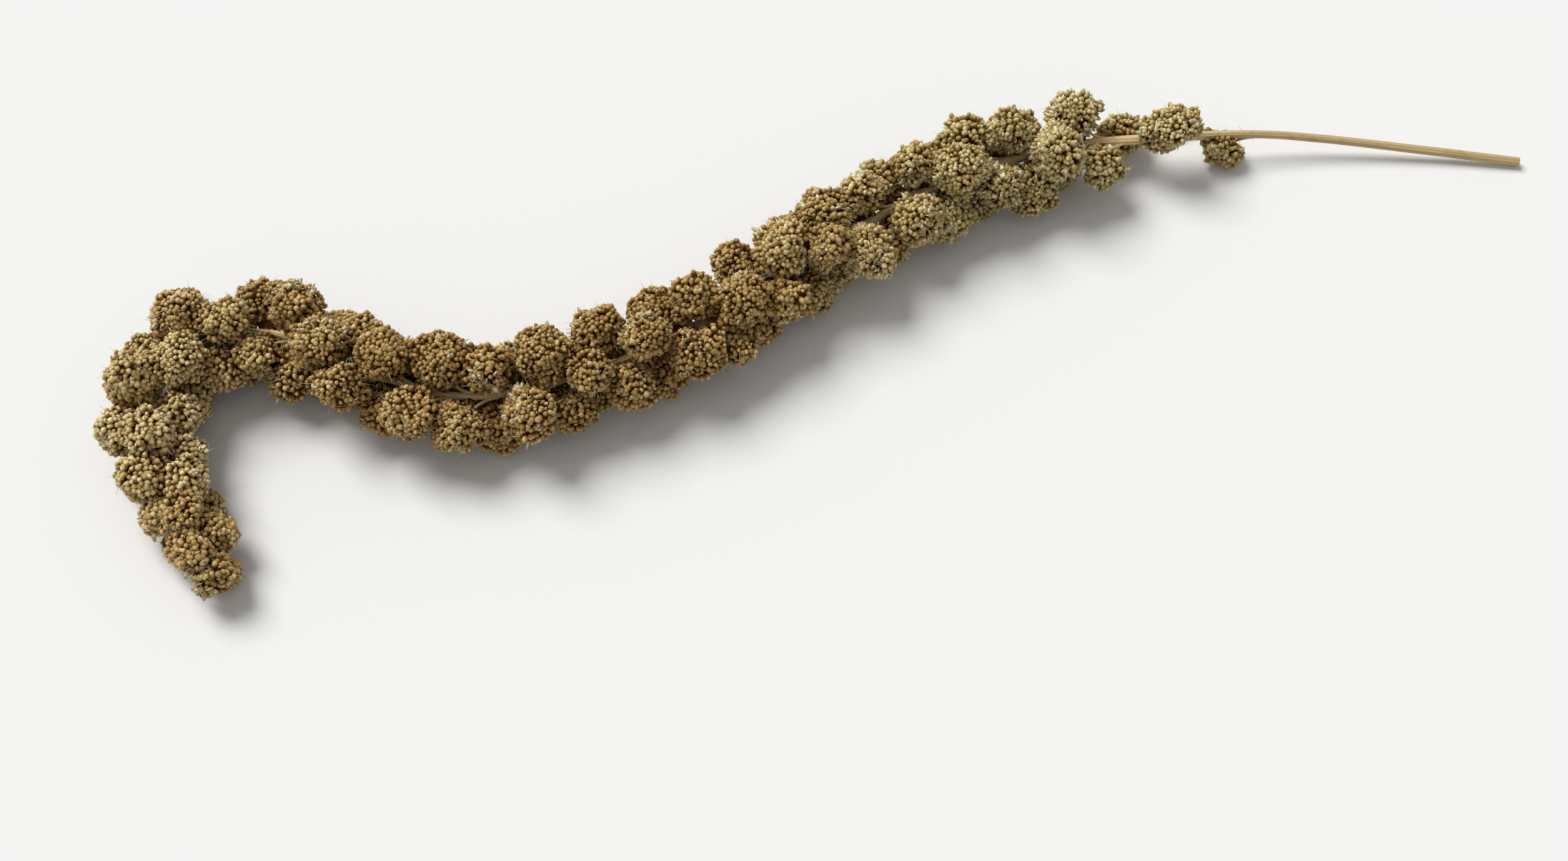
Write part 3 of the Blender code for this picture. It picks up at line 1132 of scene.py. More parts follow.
    def spots(self, stretch: Stretch) -> bpy.types.Object:
        """The places of a stretch's seeds, as loose points that carry the seeds' outward directions and
        tones, painted shade included.

        Args:
            stretch: The stretch.

        Returns:
            The object.
        """
        places, values = [], {}
        for number, (lobe, traits) in enumerate(self.traits()):
            if Stretch.at(lobe.station) is not stretch:
                continue
            place = lobe.place()
            rays = self.spread_rays(lobe, np.random.default_rng(number))
            tilts = np.arccos(np.clip(rays[:, 0], -1, 1))
            turns = np.arctan2(rays[:, 2], rays[:, 1])
            lifts = [self.lump(lobe, tilt, turn) for tilt, turn in zip(tilts, turns, strict=True)]
            angles = zip(tilts, turns, lifts, strict=True)
            points = np.array([lobe.surface(place, tilt, turn, lift) for tilt, turn, lift in angles])
            points[:, 2] = [self.fitted(height) for height in points[:, 2]]
            directions = np.array([list(d) for d in place[2]])
            normals = (rays / (lobe.length, lobe.radius, lobe.width)) @ directions
            normals /= np.linalg.norm(normals, axis=1)[:, None]
            pressed = points[:, 2] <= self.floor_room
            normals[pressed] = (0, 0, -1)
            places.append(points)
            low, openness = tilts / math.pi, self.openness(lobe, points)
            # Painted shade for the valleys between lobes and the low side of each lobe, taken off the seeds'
            # tone.
            deep = self.along(lobe, self.valley_knots) * self.valley(openness) + self.side_shade * low
            tones = {"light": traits["light"] - deep, "green": traits["green"] - self.valley_green * deep}
            own = {**traits, **tones}
            self.note(values, lobe, len(points), {**own, "outward": normals, "low": low, "open": openness})
        mesh = bpy.data.meshes.new(f"spots_{stretch.label}")
        mesh.from_pydata([tuple(p) for p in np.concatenate(places)], [], [])
        obj = bpy.data.objects.new(mesh.name, mesh)
        add_values(obj, values)
        return obj

    def valley(self, openness: np.ndarray) -> np.ndarray:
        """How much painted shade seeds get between lobes or near the rachis, from 0 to 1."""
        return (1 - np.clip(openness / self.valley_width, 0, 1)) ** 2

    def spread_rays(self, lobe: Lobe, chance: np.random.Generator) -> np.ndarray:
        """Directions from a lobe's middle that lead to evenly crowded seeds.

        Args:
            lobe: The lobe.
            chance: The seeded draw.

        Returns:
            One direction a row, along the lobe's own axes.
        """
        sizes = np.array([lobe.length, lobe.radius, lobe.width]) - self.line.size(lobe.station, self.inset)
        cap = (1 - math.cos(self.seeds_until)) / 2
        area = 4 * math.pi * float(np.mean(sizes)) ** 2 * cap
        count = round(area / self.seed_room)
        heights = chance.uniform(math.cos(self.seeds_until), 1, count)
        turns = chance.uniform(0, math.tau, count)
        wide = np.sqrt(1 - heights**2)
        rays = np.stack([heights, wide * np.cos(turns), wide * np.sin(turns)], axis=1)
        for _ in range(self.relax_rounds):
            points = rays * sizes
            lengths = (points**2).sum(axis=1)
            squares = lengths[:, None] + lengths[None, :] - 2 * points @ points.T
            far = np.sqrt(np.maximum(squares, self.least_gap**2))
            push = np.clip(1 - far / self.apart, 0, None) / far * self.relax_step
            np.fill_diagonal(push, 0)
            moved = points * (1 + push.sum(axis=1))[:, None] - push @ points
            rays = moved / sizes
            rays /= np.linalg.norm(rays, axis=1)[:, None]
        return rays

    def along_rachis(self, cane: "Cane") -> bpy.types.Object:
        """The rachis's own skin, with the values that its hairs take from it.

        Args:
            cane: The rachis.

        Returns:
            The object.
        """
        verts, faces, _ = cane.mesh()
        obj = mesh_object("skin_rachis", verts, faces)
        count = len(verts)
        rings = (count - 2) // cane.sides
        levels = np.repeat(np.linspace(cane.start, cane.end, rings), cane.sides)
        stations = np.append(levels, (cane.start, cane.end))
        growth = np.array([self.line.frame(station)[0] for station in stations])
        flat = {"open": 1.0, "low": 1.0, "size": 1.0, "green": 0.5, "light": 0.5}
        values = {label: [np.full(count, value)] for label, value in flat.items()}
        add_values(obj, {**values, "growth": [growth]})
        return obj

    def cores(self, sink: float, material: bpy.types.Material) -> bpy.types.Object:
        """The brown cores that show between the seeds, coloured as painted shade in the gaps.

        Args:
            sink: How far the cores lie under the skin.
            material: Their finish.

        Returns:
            The object.
        """
        verts, faces = [], []
        for lobe in self.lobes:
            rings, outer, root = self.rings(lobe, self.core_sides, self.core_rings, -sink)
            own_verts, own_faces = tube(rings, outer, root)
            for point in own_verts:
                point.z = max(self.fitted(point.z), self.floor_room + sink)
            join_on(verts, faces, own_verts, own_faces)
        obj = mesh_object("lobe_cores", verts, faces)
        obj.data.materials.append(material)
        return obj


def add_values(obj: bpy.types.Object, values: dict[str, list[np.ndarray]]) -> None:
    """Stores named values on an object's points.

    Args:
        obj: The object.
        values: The arrays of each value, by name.
    """
    for label, arrays in values.items():
        whole = np.concatenate(arrays)
        kind, part = ("FLOAT_VECTOR", "vector") if whole.ndim > 1 else ("FLOAT", "value")
        attribute = obj.data.attributes.new(label, kind, "POINT")
        attribute.data.foreach_set(part, whole.ravel().astype(np.float32))


@dataclass(frozen=True)
class Planting:
    """How thickly small pieces stand on the lobes, how deep, how far they stray, and how much they differ.

    Each value is an input of the scatter tree, under its own name.
    """

    seed: int
    sink: float
    clump_height: float
    lean: float
    stray: float
    smallest: float
    largest: float
    open_at_least: float
    tone_spread: float = 0.45
    clump_scale: float = 380.0
    spacing: float = 0.95 * MM
    low_share: float = 0.0
    tuft_share: float = 0.0
    tuft_scale: float = 260.0
    tuft_from: float = 0.45
    lowest: float = 0.0
    highest: float = 31.8 * MM
    as_sheet: bool = False
    at_places: bool = False

    @staticmethod
    def title(name: str) -> str:
        """The name of the input that takes a value."""
        return name.replace("_", " ").capitalize()

    def inputs(self) -> dict[str, object]:
        """The values under the names of the scatter tree's inputs."""
        return {self.title(name): value for name, value in vars(self).items()}


class Draw(Enum):
    """What sets each random draw of the scatter tree apart from the others."""

    STRAY_X = 11
    STRAY_Y = 12
    STRAY_Z = 13
    SPIN = 21
    SIZE = 31
    KIND = 41
    GREEN = 51
    LIGHT = 52


class ScatterTree:
    """A Geometry Nodes tree that sets kinds of small pieces all over a skin, or at given places."""

    SOCKETS = {float: "NodeSocketFloat", int: "NodeSocketInt", bool: "NodeSocketBool"}
    MOST_PER_SQUARE_METRE = 1.5e6
    KIND_RANGE = 997.0
    GREEN_SHARE = 0.4
    LOW_EDGE = (0.2, 0.75)
    TUFT_EDGE = 0.15
    STRIP_WIDTH = 0.04
    CELL_EDGE = 0.01
    CARRIED = ("green_tone", "light_tone", "green", "light", "open", "size", "low", "growth", "outward")

    def __init__(self) -> None:
        """Builds the tree, with a named input for each size."""
        self.tree = bpy.data.node_groups.new("scatter_on_skin", "GeometryNodeTree")
        self.ids: dict[str, str] = {}
        self.socket("Skin", "NodeSocketGeometry")
        for given in fields(Planting):
            self.socket(Planting.title(given.name), self.SOCKETS[given.type])
        self.socket("Kinds", "NodeSocketCollection")
        self.socket("Finish", "NodeSocketMaterial")
        self.tree.interface.new_socket(name="Pieces", in_out="OUTPUT", socket_type="NodeSocketGeometry")
        self.build()

    def socket(self, name: str, kind: str) -> None:
        """Adds a named input and keeps its identifier."""
        made = self.tree.interface.new_socket(name=name, in_out="INPUT", socket_type=kind)
        self.ids[name] = made.identifier

    @staticmethod
    def value(nodes: Nodes, name: str, kind: str = "FLOAT") -> Socket:
        """A named value that the skin or an instance carries."""
        return nodes.add("GeometryNodeInputNamedAttribute", {"Name": name}, data_type=kind).outputs[0]

    @staticmethod
    def either(nodes: Nodes, kind: str, choice: Socket, no: Socket, yes: Socket) -> Socket:
        """One of two values or geometries, by a choice."""
        feeds = {"Switch": choice, "False": no, "True": yes}
        return nodes.add("GeometryNodeSwitch", feeds, input_type=kind).outputs[0]

    @staticmethod
    def chance(nodes: Nodes, low: object, high: object, seed: Socket, draw: Draw) -> Socket:
        """A seeded random number between two values.

        Args:
            nodes: The tree in the making.
            low: The least value.
            high: The greatest value.
            seed: The tree's seed.
            draw: Which of the tree's draws it is.

        Returns:
            The number.
        """
        own_seed = nodes.math("ADD", seed, float(draw.value))
        feeds = {"Min_001": low, "Max_001": high, "Seed": own_seed}
        node = nodes.add("FunctionNodeRandomValue", data_type="FLOAT")
        for key, given in feeds.items():
            socket = next(s for s in node.inputs if s.identifier == key or s.name == key and s.enabled)
            if isinstance(given, Socket):
                nodes.tree.links.new(given, socket)
            else:
                socket.default_value = given
        return next(s for s in node.outputs if s.identifier == "Value_001")

    def build(self) -> None:
        """Joins the nodes, from the skin to the finished pieces."""
        nodes = Nodes(self.tree)
        given = nodes.add("NodeGroupInput").outputs
        seed, at_places = given["Seed"], given["At places"]
        spread = nodes.add(
            "GeometryNodeDistributePointsOnFaces",
            {
                "Mesh": given["Skin"],
                "Distance Min": given["Spacing"],
                "Density Max": self.MOST_PER_SQUARE_METRE,
                "Density Factor": self.fullness(nodes, given),
                "Seed": seed,
            },
            distribute_method="POISSON",
        )
        hidden = nodes.add(
            "FunctionNodeCompare",
            {0: self.value(nodes, "open"), 1: given["Open at least"]},
            data_type="FLOAT",
            operation="LESS_THAN",
        )
        points = self.either(nodes, "GEOMETRY", at_places, spread.outputs["Points"], given["Skin"])
        open_points = nodes.add(
            "GeometryNodeDeleteGeometry",
            {"Geometry": points, "Selection": hidden.outputs[0]},
            domain="POINT",
        )
        outward = self.value(nodes, "outward", "FLOAT_VECTOR")
        normal = self.either(nodes, "VECTOR", at_places, spread.outputs["Normal"], outward)
        place = nodes.add("GeometryNodeInputPosition").outputs[0]
        clump = nodes.math("SUBTRACT", nodes.noise(place, scale=given["Clump scale"], detail=1.0), 0.5)
        lift = nodes.math("MULTIPLY", clump, given["Clump height"])
        lift = nodes.math("SUBTRACT", lift, given["Sink"])
        rooted = nodes.add(
            "GeometryNodeSetPosition",
            {"Geometry": open_points.outputs[0], "Offset": nodes.shade(normal, lift)},
        )
        size = self.chance(nodes, given["Smallest"], given["Largest"], seed, Draw.SIZE)
        size = nodes.math("MULTIPLY", size, self.value(nodes, "size"))
        kinds = nodes.add(
            "GeometryNodeCollectionInfo",
            {"Collection": given["Kinds"], "Separate Children": True, "Reset Children": True},
        )
        kind = self.chance(nodes, 0.0, self.KIND_RANGE, seed, Draw.KIND)
        planted = nodes.add(
            "GeometryNodeInstanceOnPoints",
            {
                "Points": rooted.outputs[0],
                "Instance": kinds.outputs[0],
                "Pick Instance": True,
                "Instance Index": nodes.math("FLOOR", kind),
                "Rotation": self.stance(nodes, given, normal),
                "Scale": nodes.joined(size, size, size),
            },
        )
        whole = planted.outputs[0]
        for draw, label, share in ((Draw.GREEN, "green", self.GREEN_SHARE), (Draw.LIGHT, "light", 1.0)):
            astray = self.chance(nodes, -share, share, seed, draw)
            tone = nodes.math("MULTIPLY_ADD", astray, given["Tone spread"], self.value(nodes, label))
            whole = nodes.add(
                "GeometryNodeStoreNamedAttribute",
                {"Geometry": whole, "Name": f"{label}_tone", "Value": tone},
                data_type="FLOAT",
                domain="INSTANCE",
            ).outputs[0]
        whole = nodes.add("GeometryNodeRealizeInstances", {0: whole}).outputs[0]
        x, y, z = nodes.parts(nodes.add("GeometryNodeInputPosition").outputs[0])
        z = nodes.math("MINIMUM", nodes.math("MAXIMUM", z, given["Lowest"]), given["Highest"])
        kept = {"Geometry": whole, "Position": nodes.joined(x, y, z)}
        whole = nodes.add("GeometryNodeSetPosition", kept).outputs[0]
        whole = self.with_map(nodes, whole, given["As sheet"])
        for label in self.CARRIED:
            whole = nodes.add("GeometryNodeRemoveAttribute", {"Geometry": whole, "Name": label}).outputs[0]
        whole = nodes.add("GeometryNodeSetShadeSmooth", {"Geometry": whole}).outputs[0]
        finished = {"Geometry": whole, "Material": given["Finish"]}
        nodes.add("NodeGroupOutput", {0: nodes.add("GeometryNodeSetMaterial", finished).outputs[0]})

    def stance(self, nodes: Nodes, given: bpy.types.NodeOutputs, normal: Socket) -> Socket:
        """How a piece stands: outwards, leaning with the growth, a little astray, and spun round itself.

        Args:
            nodes: The tree in the making.
            given: The tree's inputs.
            normal: The direction outwards.

        Returns:
            The rotation.
        """
        lean = nodes.shade(self.value(nodes, "growth", "FLOAT_VECTOR"), given["Lean"])
        draws = (Draw.STRAY_X, Draw.STRAY_Y, Draw.STRAY_Z)
        astray = nodes.joined(*(self.chance(nodes, -1.0, 1.0, given["Seed"], draw) for draw in draws))
        way = nodes.vector("ADD", normal, lean)
        way = nodes.vector("ADD", way, nodes.shade(astray, given["Stray"]))
        stood = nodes.add("FunctionNodeAlignRotationToVector", {"Vector": way}, axis="Z")
        turn = nodes.joined(0.0, 0.0, self.chance(nodes, 0.0, math.tau, given["Seed"], Draw.SPIN))
        spin = nodes.add("FunctionNodeEulerToRotation", {0: turn})
        both = {"Rotation": stood.outputs[0], "Rotate By": spin.outputs[0]}
        return nodes.add("FunctionNodeRotateRotation", both, rotation_space="LOCAL").outputs[0]

    def fullness(self, nodes: Nodes, given: bpy.types.NodeOutputs) -> Socket:
        """How thickly pieces stand here: all over, or only low on a lobe, or only in tufts.

        Args:
            nodes: The tree in the making.
            given: The tree's inputs.

        Returns:
            The share of the full number, from 0 to 1.
        """
        scarce = nodes.rest(nodes.between(self.value(nodes, "low"), *self.LOW_EDGE))
        by_height = nodes.rest(nodes.math("MULTIPLY", scarce, given["Low share"]))
        place = nodes.add("GeometryNodeInputPosition").outputs[0]
        tuft = nodes.noise(place, scale=given["Tuft scale"], detail=1.0)
        full_from = nodes.math("ADD", given["Tuft from"], self.TUFT_EDGE)
        bare = nodes.rest(nodes.between(tuft, given["Tuft from"], full_from))
        by_tuft = nodes.rest(nodes.math("MULTIPLY", bare, given["Tuft share"]))
        return nodes.math("MULTIPLY", by_height, by_tuft)

    def with_map(self, nodes: Nodes, whole: Socket, as_sheet: Socket) -> Socket:
        """Moves each piece's map to its own style.

        Args:
            nodes: The tree in the making.
            whole: The realised pieces.
            as_sheet: True where styles are cells of a sheet, false where they are tones from left to right.

        Returns:
            The pieces with their map.
        """
        own = self.value(nodes, STYLE_MAP, "FLOAT_VECTOR")
        steps = []
        for label in ("green_tone", "light_tone"):
            tone = nodes.add("ShaderNodeClamp", {0: self.value(nodes, label)}).outputs[0]
            steps.append(nodes.math("FLOOR", nodes.math("MULTIPLY", tone, STYLES - self.CELL_EDGE)))
        sheet = nodes.shade(nodes.vector("ADD", own, nodes.joined(*steps)), 1 / STYLES)
        x, way, _ = nodes.parts(own)
        strip_x = nodes.math("MULTIPLY", x, self.STRIP_WIDTH)
        strip_x = nodes.math("MULTIPLY_ADD", tone, 1 - self.STRIP_WIDTH, strip_x)
        chosen = self.either(nodes, "VECTOR", as_sheet, nodes.joined(strip_x, way), sheet)
        return nodes.add(
            "GeometryNodeStoreNamedAttribute",
            {"Geometry": whole, "Name": STYLE_MAP, "Value": chosen},
            data_type="FLOAT2",
            domain="CORNER",
        ).outputs[0]

    def grow(self, name: str, skin: bpy.types.Object, inputs: dict[str, object]) -> bpy.types.Object:
        """Runs the tree on a skin and keeps the result as a plain mesh.

        Args:
            name: The new object's name.
            skin: The skin's object.
            inputs: The tree's inputs, by name.

        Returns:
            The object, linked to no collection.
        """
        holder = bpy.data.objects.new("holder", skin.data)
        bpy.context.scene.collection.objects.link(holder)
        modifier = holder.modifiers.new("Scatter", "NODES")
        modifier.node_group = self.tree
        for label, value in inputs.items():
            modifier[self.ids[label]] = value
        graph = bpy.context.evaluated_depsgraph_get()
        mesh = bpy.data.meshes.new_from_object(holder.evaluated_get(graph), depsgraph=graph)
        mesh.name = name
        bpy.data.objects.remove(holder)
        return bpy.data.objects.new(name, mesh)


def collection_of(
    name: str, label: str, shapes: Sequence[Sequence[float]], make: Callable[..., bpy.types.Object]
) -> bpy.types.Collection:
    """The kinds of a small piece, in a collection that is linked to no scene.

    Args:
        name: The collection's name.
        label: What the kinds' names begin with.
        shapes: The numbers that set each kind apart.
        make: Makes one kind from its name and its numbers.

    Returns:
        The collection.
    """
    kinds = bpy.data.collections.new(name)
    for number, shape in enumerate(shapes, 1):
        kinds.objects.link(make(f"{label}_{number}", *shape))
    return kinds


SLIM_SHAPES = (
    (1.1, 0.92, 0.08),
    (1.2, 0.86, -0.06),
    (1.0, 0.98, 0.12),
    (1.25, 0.78, 0.05),
    (0.9, 1.05, 0.0),
    (1.08, 1.0, -0.1),
    (0.85, 0.98, 0.06),
)


@dataclass
class SeedKinds:
    """A few shapes of hulled seed, each of 20 triangles: a closed egg with its own map, seen from its tip.

    A shape is its length and its width as shares of the usual ones, and how far its tip leans. Each is a
    little uneven in its own way. The ring above is turned by half a side from the one below.
    """

    label: str
    length: float = 1.85 * MM
    radius: float = 0.93 * MM
    sides: int = 5
    unevenness: float = 0.08
    waist: Span = (0.46, 1.0)
    shoulder: Span = (0.86, 0.66)
    shapes: Sequence[tuple[float, float, float]] = (
        (1.0, 1.0, 0.0),
        (0.94, 1.1, 0.06),
        (1.06, 0.95, -0.05),
        (0.97, 1.0, 0.16),
        (1.25, 0.84, 0.04),
        (1.12, 0.76, 0.1),
        (0.86, 0.82, 0.0),
    )
    map_half: float = 0.47
    waist_down: float = 0.72
    shoulder_down: float = 0.38

    def collection(self) -> bpy.types.Collection:
        """The kinds, in a collection of their own."""
        return collection_of(self.label, self.label, self.shapes, self.seed)

    def seed(self, name: str, tall: float, stout: float, leaning: float) -> bpy.types.Object:
        """One kind of seed.

        Args:
            name: Its name.
            tall: Its length, as a share of the usual one.
            stout: Its width, likewise.
            leaning: How far its tip leans, as a share of its length.

        Returns:
            The object.
        """
        draw = random.Random(name)
        rings, spots = [], []
        for k, (height, width) in enumerate((self.waist, self.shoulder)):
            down = (self.waist_down, self.shoulder_down)[k]
            wide = self.radius * stout * width
            middle = Vector((leaning * self.length * height**2, 0, height * tall * self.length))
            turns = [(i + 0.5 * k) * math.tau / self.sides for i in range(self.sides)]
            uneven = [1 + draw.uniform(-1, 1) * self.unevenness for _ in turns]
            rays = [Vector((math.cos(a), math.sin(a), 0)) for a in turns]
            rings.append([middle + ray * wide * more for ray, more in zip(rays, uneven, strict=True)])
            spots += [self.spot(turn, down) for turn in turns]
        root, tip = Vector(), Vector((leaning, 0, tall)) * self.length
        verts = [*rings[0], *rings[1], root, tip]
        spots += [self.spot(0, 1.0), self.spot(0, 0)]
        faces = []
        for i in range(self.sides):
            j = (i + 1) % self.sides
            low, high = i, self.sides + i
            next_low, next_high = j, self.sides + j
            faces += [(next_low, low, len(verts) - 2), (low, next_low, high), (next_low, next_high, high)]
            faces.append((high, next_high, len(verts) - 1))
        obj = mesh_object(name, verts, faces)
        add_map(obj, spots)
        return obj

    def spot(self, turn: float, down: float) -> tuple[float, float]:
        """A place on the seed's own map, seen from its tip."""
        return 0.5 + self.map_half * down * math.cos(turn), 0.5 + self.map_half * down * math.sin(turn)


def add_map(obj: bpy.types.Object, spots: Sequence[Span]) -> None:
    """Gives a mesh its style map, with one place for each corner point.

    Args:
        obj: The object.
        spots: The place of each of its points.
    """
    layer = obj.data.uv_layers.new(name=STYLE_MAP)
    for loop in obj.data.loops:
        layer.data[loop.index].uv = spots[loop.vertex_index]


@dataclass
class BristleKinds:
    """Fine curling bristles of 22 triangles, which taper to a point."""

    length: float = 4.0 * MM
    radius: float = 0.085 * MM
    taper: float = 0.7
    curls: Sequence[Span] = ((0.3, 0.1), (0.7, -0.2), (1.0, 0.25), (0.6, 0.4), (0.2, -0.35))
    steps: int = 4

    def collection(self) -> bpy.types.Collection:
        """The kinds, in a collection of their own."""
        return collection_of("bristle_kinds", "bristle_kind", self.curls, self.bristle)

    def bristle(self, name: str, bend: float, curl: float) -> bpy.types.Object:
        """One kind of bristle.

        Args:
            name: Its name.
            bend: The angle that it has bent over by its tip, in radians.
            curl: How far its middle sways sideways, as a share of its length.

        Returns:
            The object.
        """
        rings, spots, centre = [], [], Vector()
        for k in range(self.steps):
            share = k / self.steps
            radius = self.radius * (1 - self.taper * share)
            turns = [i * math.tau / 3 for i in range(3)]
            rings.append([centre + Vector((math.cos(a), math.sin(a), 0)) * radius for a in turns])
            spots += [(i / 3, share) for i in range(3)]
            angle = bend * (share + 0.5 / self.steps) * 2
            sway = curl * math.cos(share * math.tau)
            centre = centre + Vector((math.sin(angle), sway, math.cos(angle))) * self.length / self.steps
        verts = [point for ring in rings for point in ring] + [centre]
        spots.append((0.5, 1.0))
        faces = [(0, 2, 1)]
        for k in range(len(rings) - 1):
            for i in range(3):
                j = (i + 1) % 3
                faces.append((3 * k + i, 3 * k + j, 3 * k + 3 + j, 3 * k + 3 + i))
        last = 3 * (len(rings) - 1)
        faces += [(last + i, last + (i + 1) % 3, len(verts) - 1) for i in range(3)]
        obj = mesh_object(name, verts, faces)
        add_map(obj, spots)
        return obj


@dataclass
class HuskKinds:
    """Small papery scales of 8 triangles: a keeled leaf that narrows to a blunt tip."""

    label: str = "husk"
    length: float = 1.9 * MM
    width: float = 0.85 * MM
    keel: float = 0.22 * MM
    tip_share: float = 0.1
    widest_at: float = 0.55
    keel_at: float = 0.5
    side_back: float = 0.1 * MM
    tip_back: float = 0.25 * MM
    shapes: Sequence[Span] = ((1.0, 1.0), (1.2, 0.7), (0.85, 1.15))

    def collection(self) -> bpy.types.Collection:
        """The kinds, in a collection of their own."""
        return collection_of(f"{self.label}_kinds", f"{self.label}_kind", self.shapes, self.husk)

    def husk(self, name: str, tall: float, wide: float) -> bpy.types.Object:
        """One kind of husk.

        Args:
            name: Its name.
            tall: Its length, as a share of the usual one.
            wide: Its width, likewise.

        Returns:
            The object.
        """
        height, half = self.length * tall, self.width * wide / 2
        tip = half * self.tip_share
        verts = [
            Vector((0, 0, 0)),
            Vector((-half, self.side_back, self.widest_at * height)),
            Vector((half, self.side_back, self.widest_at * height)),
            Vector((0, -self.keel, self.keel_at * height)),
            Vector((-tip, self.tip_back, height)),
            Vector((tip, self.tip_back, height)),
        ]
        faces = [(0, 2, 3), (0, 3, 1), (3, 2, 5), (3, 5, 4), (3, 4, 1), (0, 1, 2), (1, 4, 5), (1, 5, 2)]
        obj = mesh_object(name, verts, faces, smooth=False)
        wide_at, keel_at = self.widest_at, self.keel_at
        add_map(obj, [(0.5, 0.0), (0.0, wide_at), (1.0, wide_at), (0.5, keel_at), (0.3, 1.0), (0.7, 1.0)])
        return obj


def stalk_map(levels: Sequence[float], sides: int) -> Spots:
    """The place of each corner of a closed tube's faces on a stalk's map.

    Args:
        levels: How far along each ring of the tube lies.
        sides: Corners in a ring.

    Returns:
        The places of each face's corners. A place is the turn and the way along, in metres.
    """
    edges = [(i / sides, (i + 1) / sides) for i in range(sides)]
    places = []
    for low, high in zip(levels, levels[1:]):
        places += [[(left, low), (right, low), (right, high), (left, high)] for left, right in edges]
    first, last = levels[0], levels[-1]
    for left, right in edges:
        places.append([(right, first), (left, first), (left, first)])
        places.append([(left, last), (right, last), (left, last)])
    return places


@dataclass
class Cane:
    """A ribbed stalk along the line: the bare stem, or the rachis inside the head."""

    line: Line
    start: float
    end: float
    radius_at_start: float
    radius_at_end: float
    swell: float = 0.0
    swell_run: float = 30 * MM
    sides: int = 28
    step: float = 1.2 * MM
    ribs: int = 9
    rib_depth: float = 0.06
    rib_sway: float = 0.6
    sway_run: float = 14 * MM
    wander: float = 0.05
    wander_run: float = 9 * MM
    spot: float = 3.0

    def ring(self, station: float) -> list[Vector]:
        """The ring of corners at a station.

        Args:
            station: Where on the line.

        Returns:
            The corners.
        """
        share = (station - self.start) / (self.end - self.start)
        radius = self.radius_at_start + (self.radius_at_end - self.radius_at_start) * share
        radius += ease(0, self.swell, (station - self.start) / self.swell_run) * (1 - share)
        _, level, up = self.line.frame(station)
        middle = self.line.at(station)
        height = station / self.wander_run + self.spot
        sway = self.rib_sway * math.sin(station / self.sway_run)
        corners = []
        for i in range(self.sides):
            turn = i * math.tau / self.sides
            out = level * math.cos(turn) + up * math.sin(turn)
            uneven = noise.noise(Vector((math.cos(turn), math.sin(turn), height)))
            rib = self.rib_depth * math.cos(self.ribs * turn + sway)
            corners.append(middle + out * radius * (1 - self.rib_depth + rib + self.wander * uneven))
        return corners

    def mesh(self) -> tuple[list[Vector], list[tuple[int, ...]], Spots]:
        """The stalk's corners, faces, and the place of each face's corners on its map.

        Returns:
            The corners, the faces and the places.
        """
        count = max(2, round((self.end - self.start) / self.step))
        stations = [self.start + (self.end - self.start) * k / count for k in range(count + 1)]
        rings = [self.ring(station) for station in stations]
        verts, faces = tube(rings, self.line.at(self.start), self.line.at(self.end))
        return verts, faces, stalk_map(stations, self.sides)


def stalk_object(name: str, stalks: Sequence[tuple]) -> bpy.types.Object:
    """One object of several stalks, each with its map.

    Args:
        name: The object's name.
        stalks: The corners, faces and places of each.

    Returns:
        The object.
    """
    verts, faces, places = [], [], []
    for own_verts, own_faces, own_places in stalks:
        join_on(verts, faces, own_verts, own_faces)
        places += own_places
    mesh = bpy.data.meshes.new(name)
    mesh.from_pydata([tuple(v) for v in verts], [], faces)
    layer = mesh.uv_layers.new(name=GRAIN_MAP)
    layer.data.foreach_set("uv", [value for face in places for spot in face for value in spot])
    face_outwards(mesh)
    mesh.shade_smooth()
    mesh.set_sharp_from_angle(angle=SHARP_FROM)
    return bpy.data.objects.new(name, mesh)


@dataclass
class Stem:
    """The bare stem below the head, with its cut end."""

    line: Line
    radius_at_cut: float = 1.35 * MM
    radius_at_head: float = 1.2 * MM

    def build(self, finish: bpy.types.Material) -> bpy.types.Object:
        """The stem as a piece.

        Args:
            finish: Its finish.

        Returns:
            The piece.
        """
        cane = Cane(self.line, -self.line.stem_length, 0.0, self.radius_at_cut, self.radius_at_head)
        obj = stalk_object("bare_stem", [cane.mesh()])
        obj.data.materials.append(finish)
        return shown(obj, "stem")


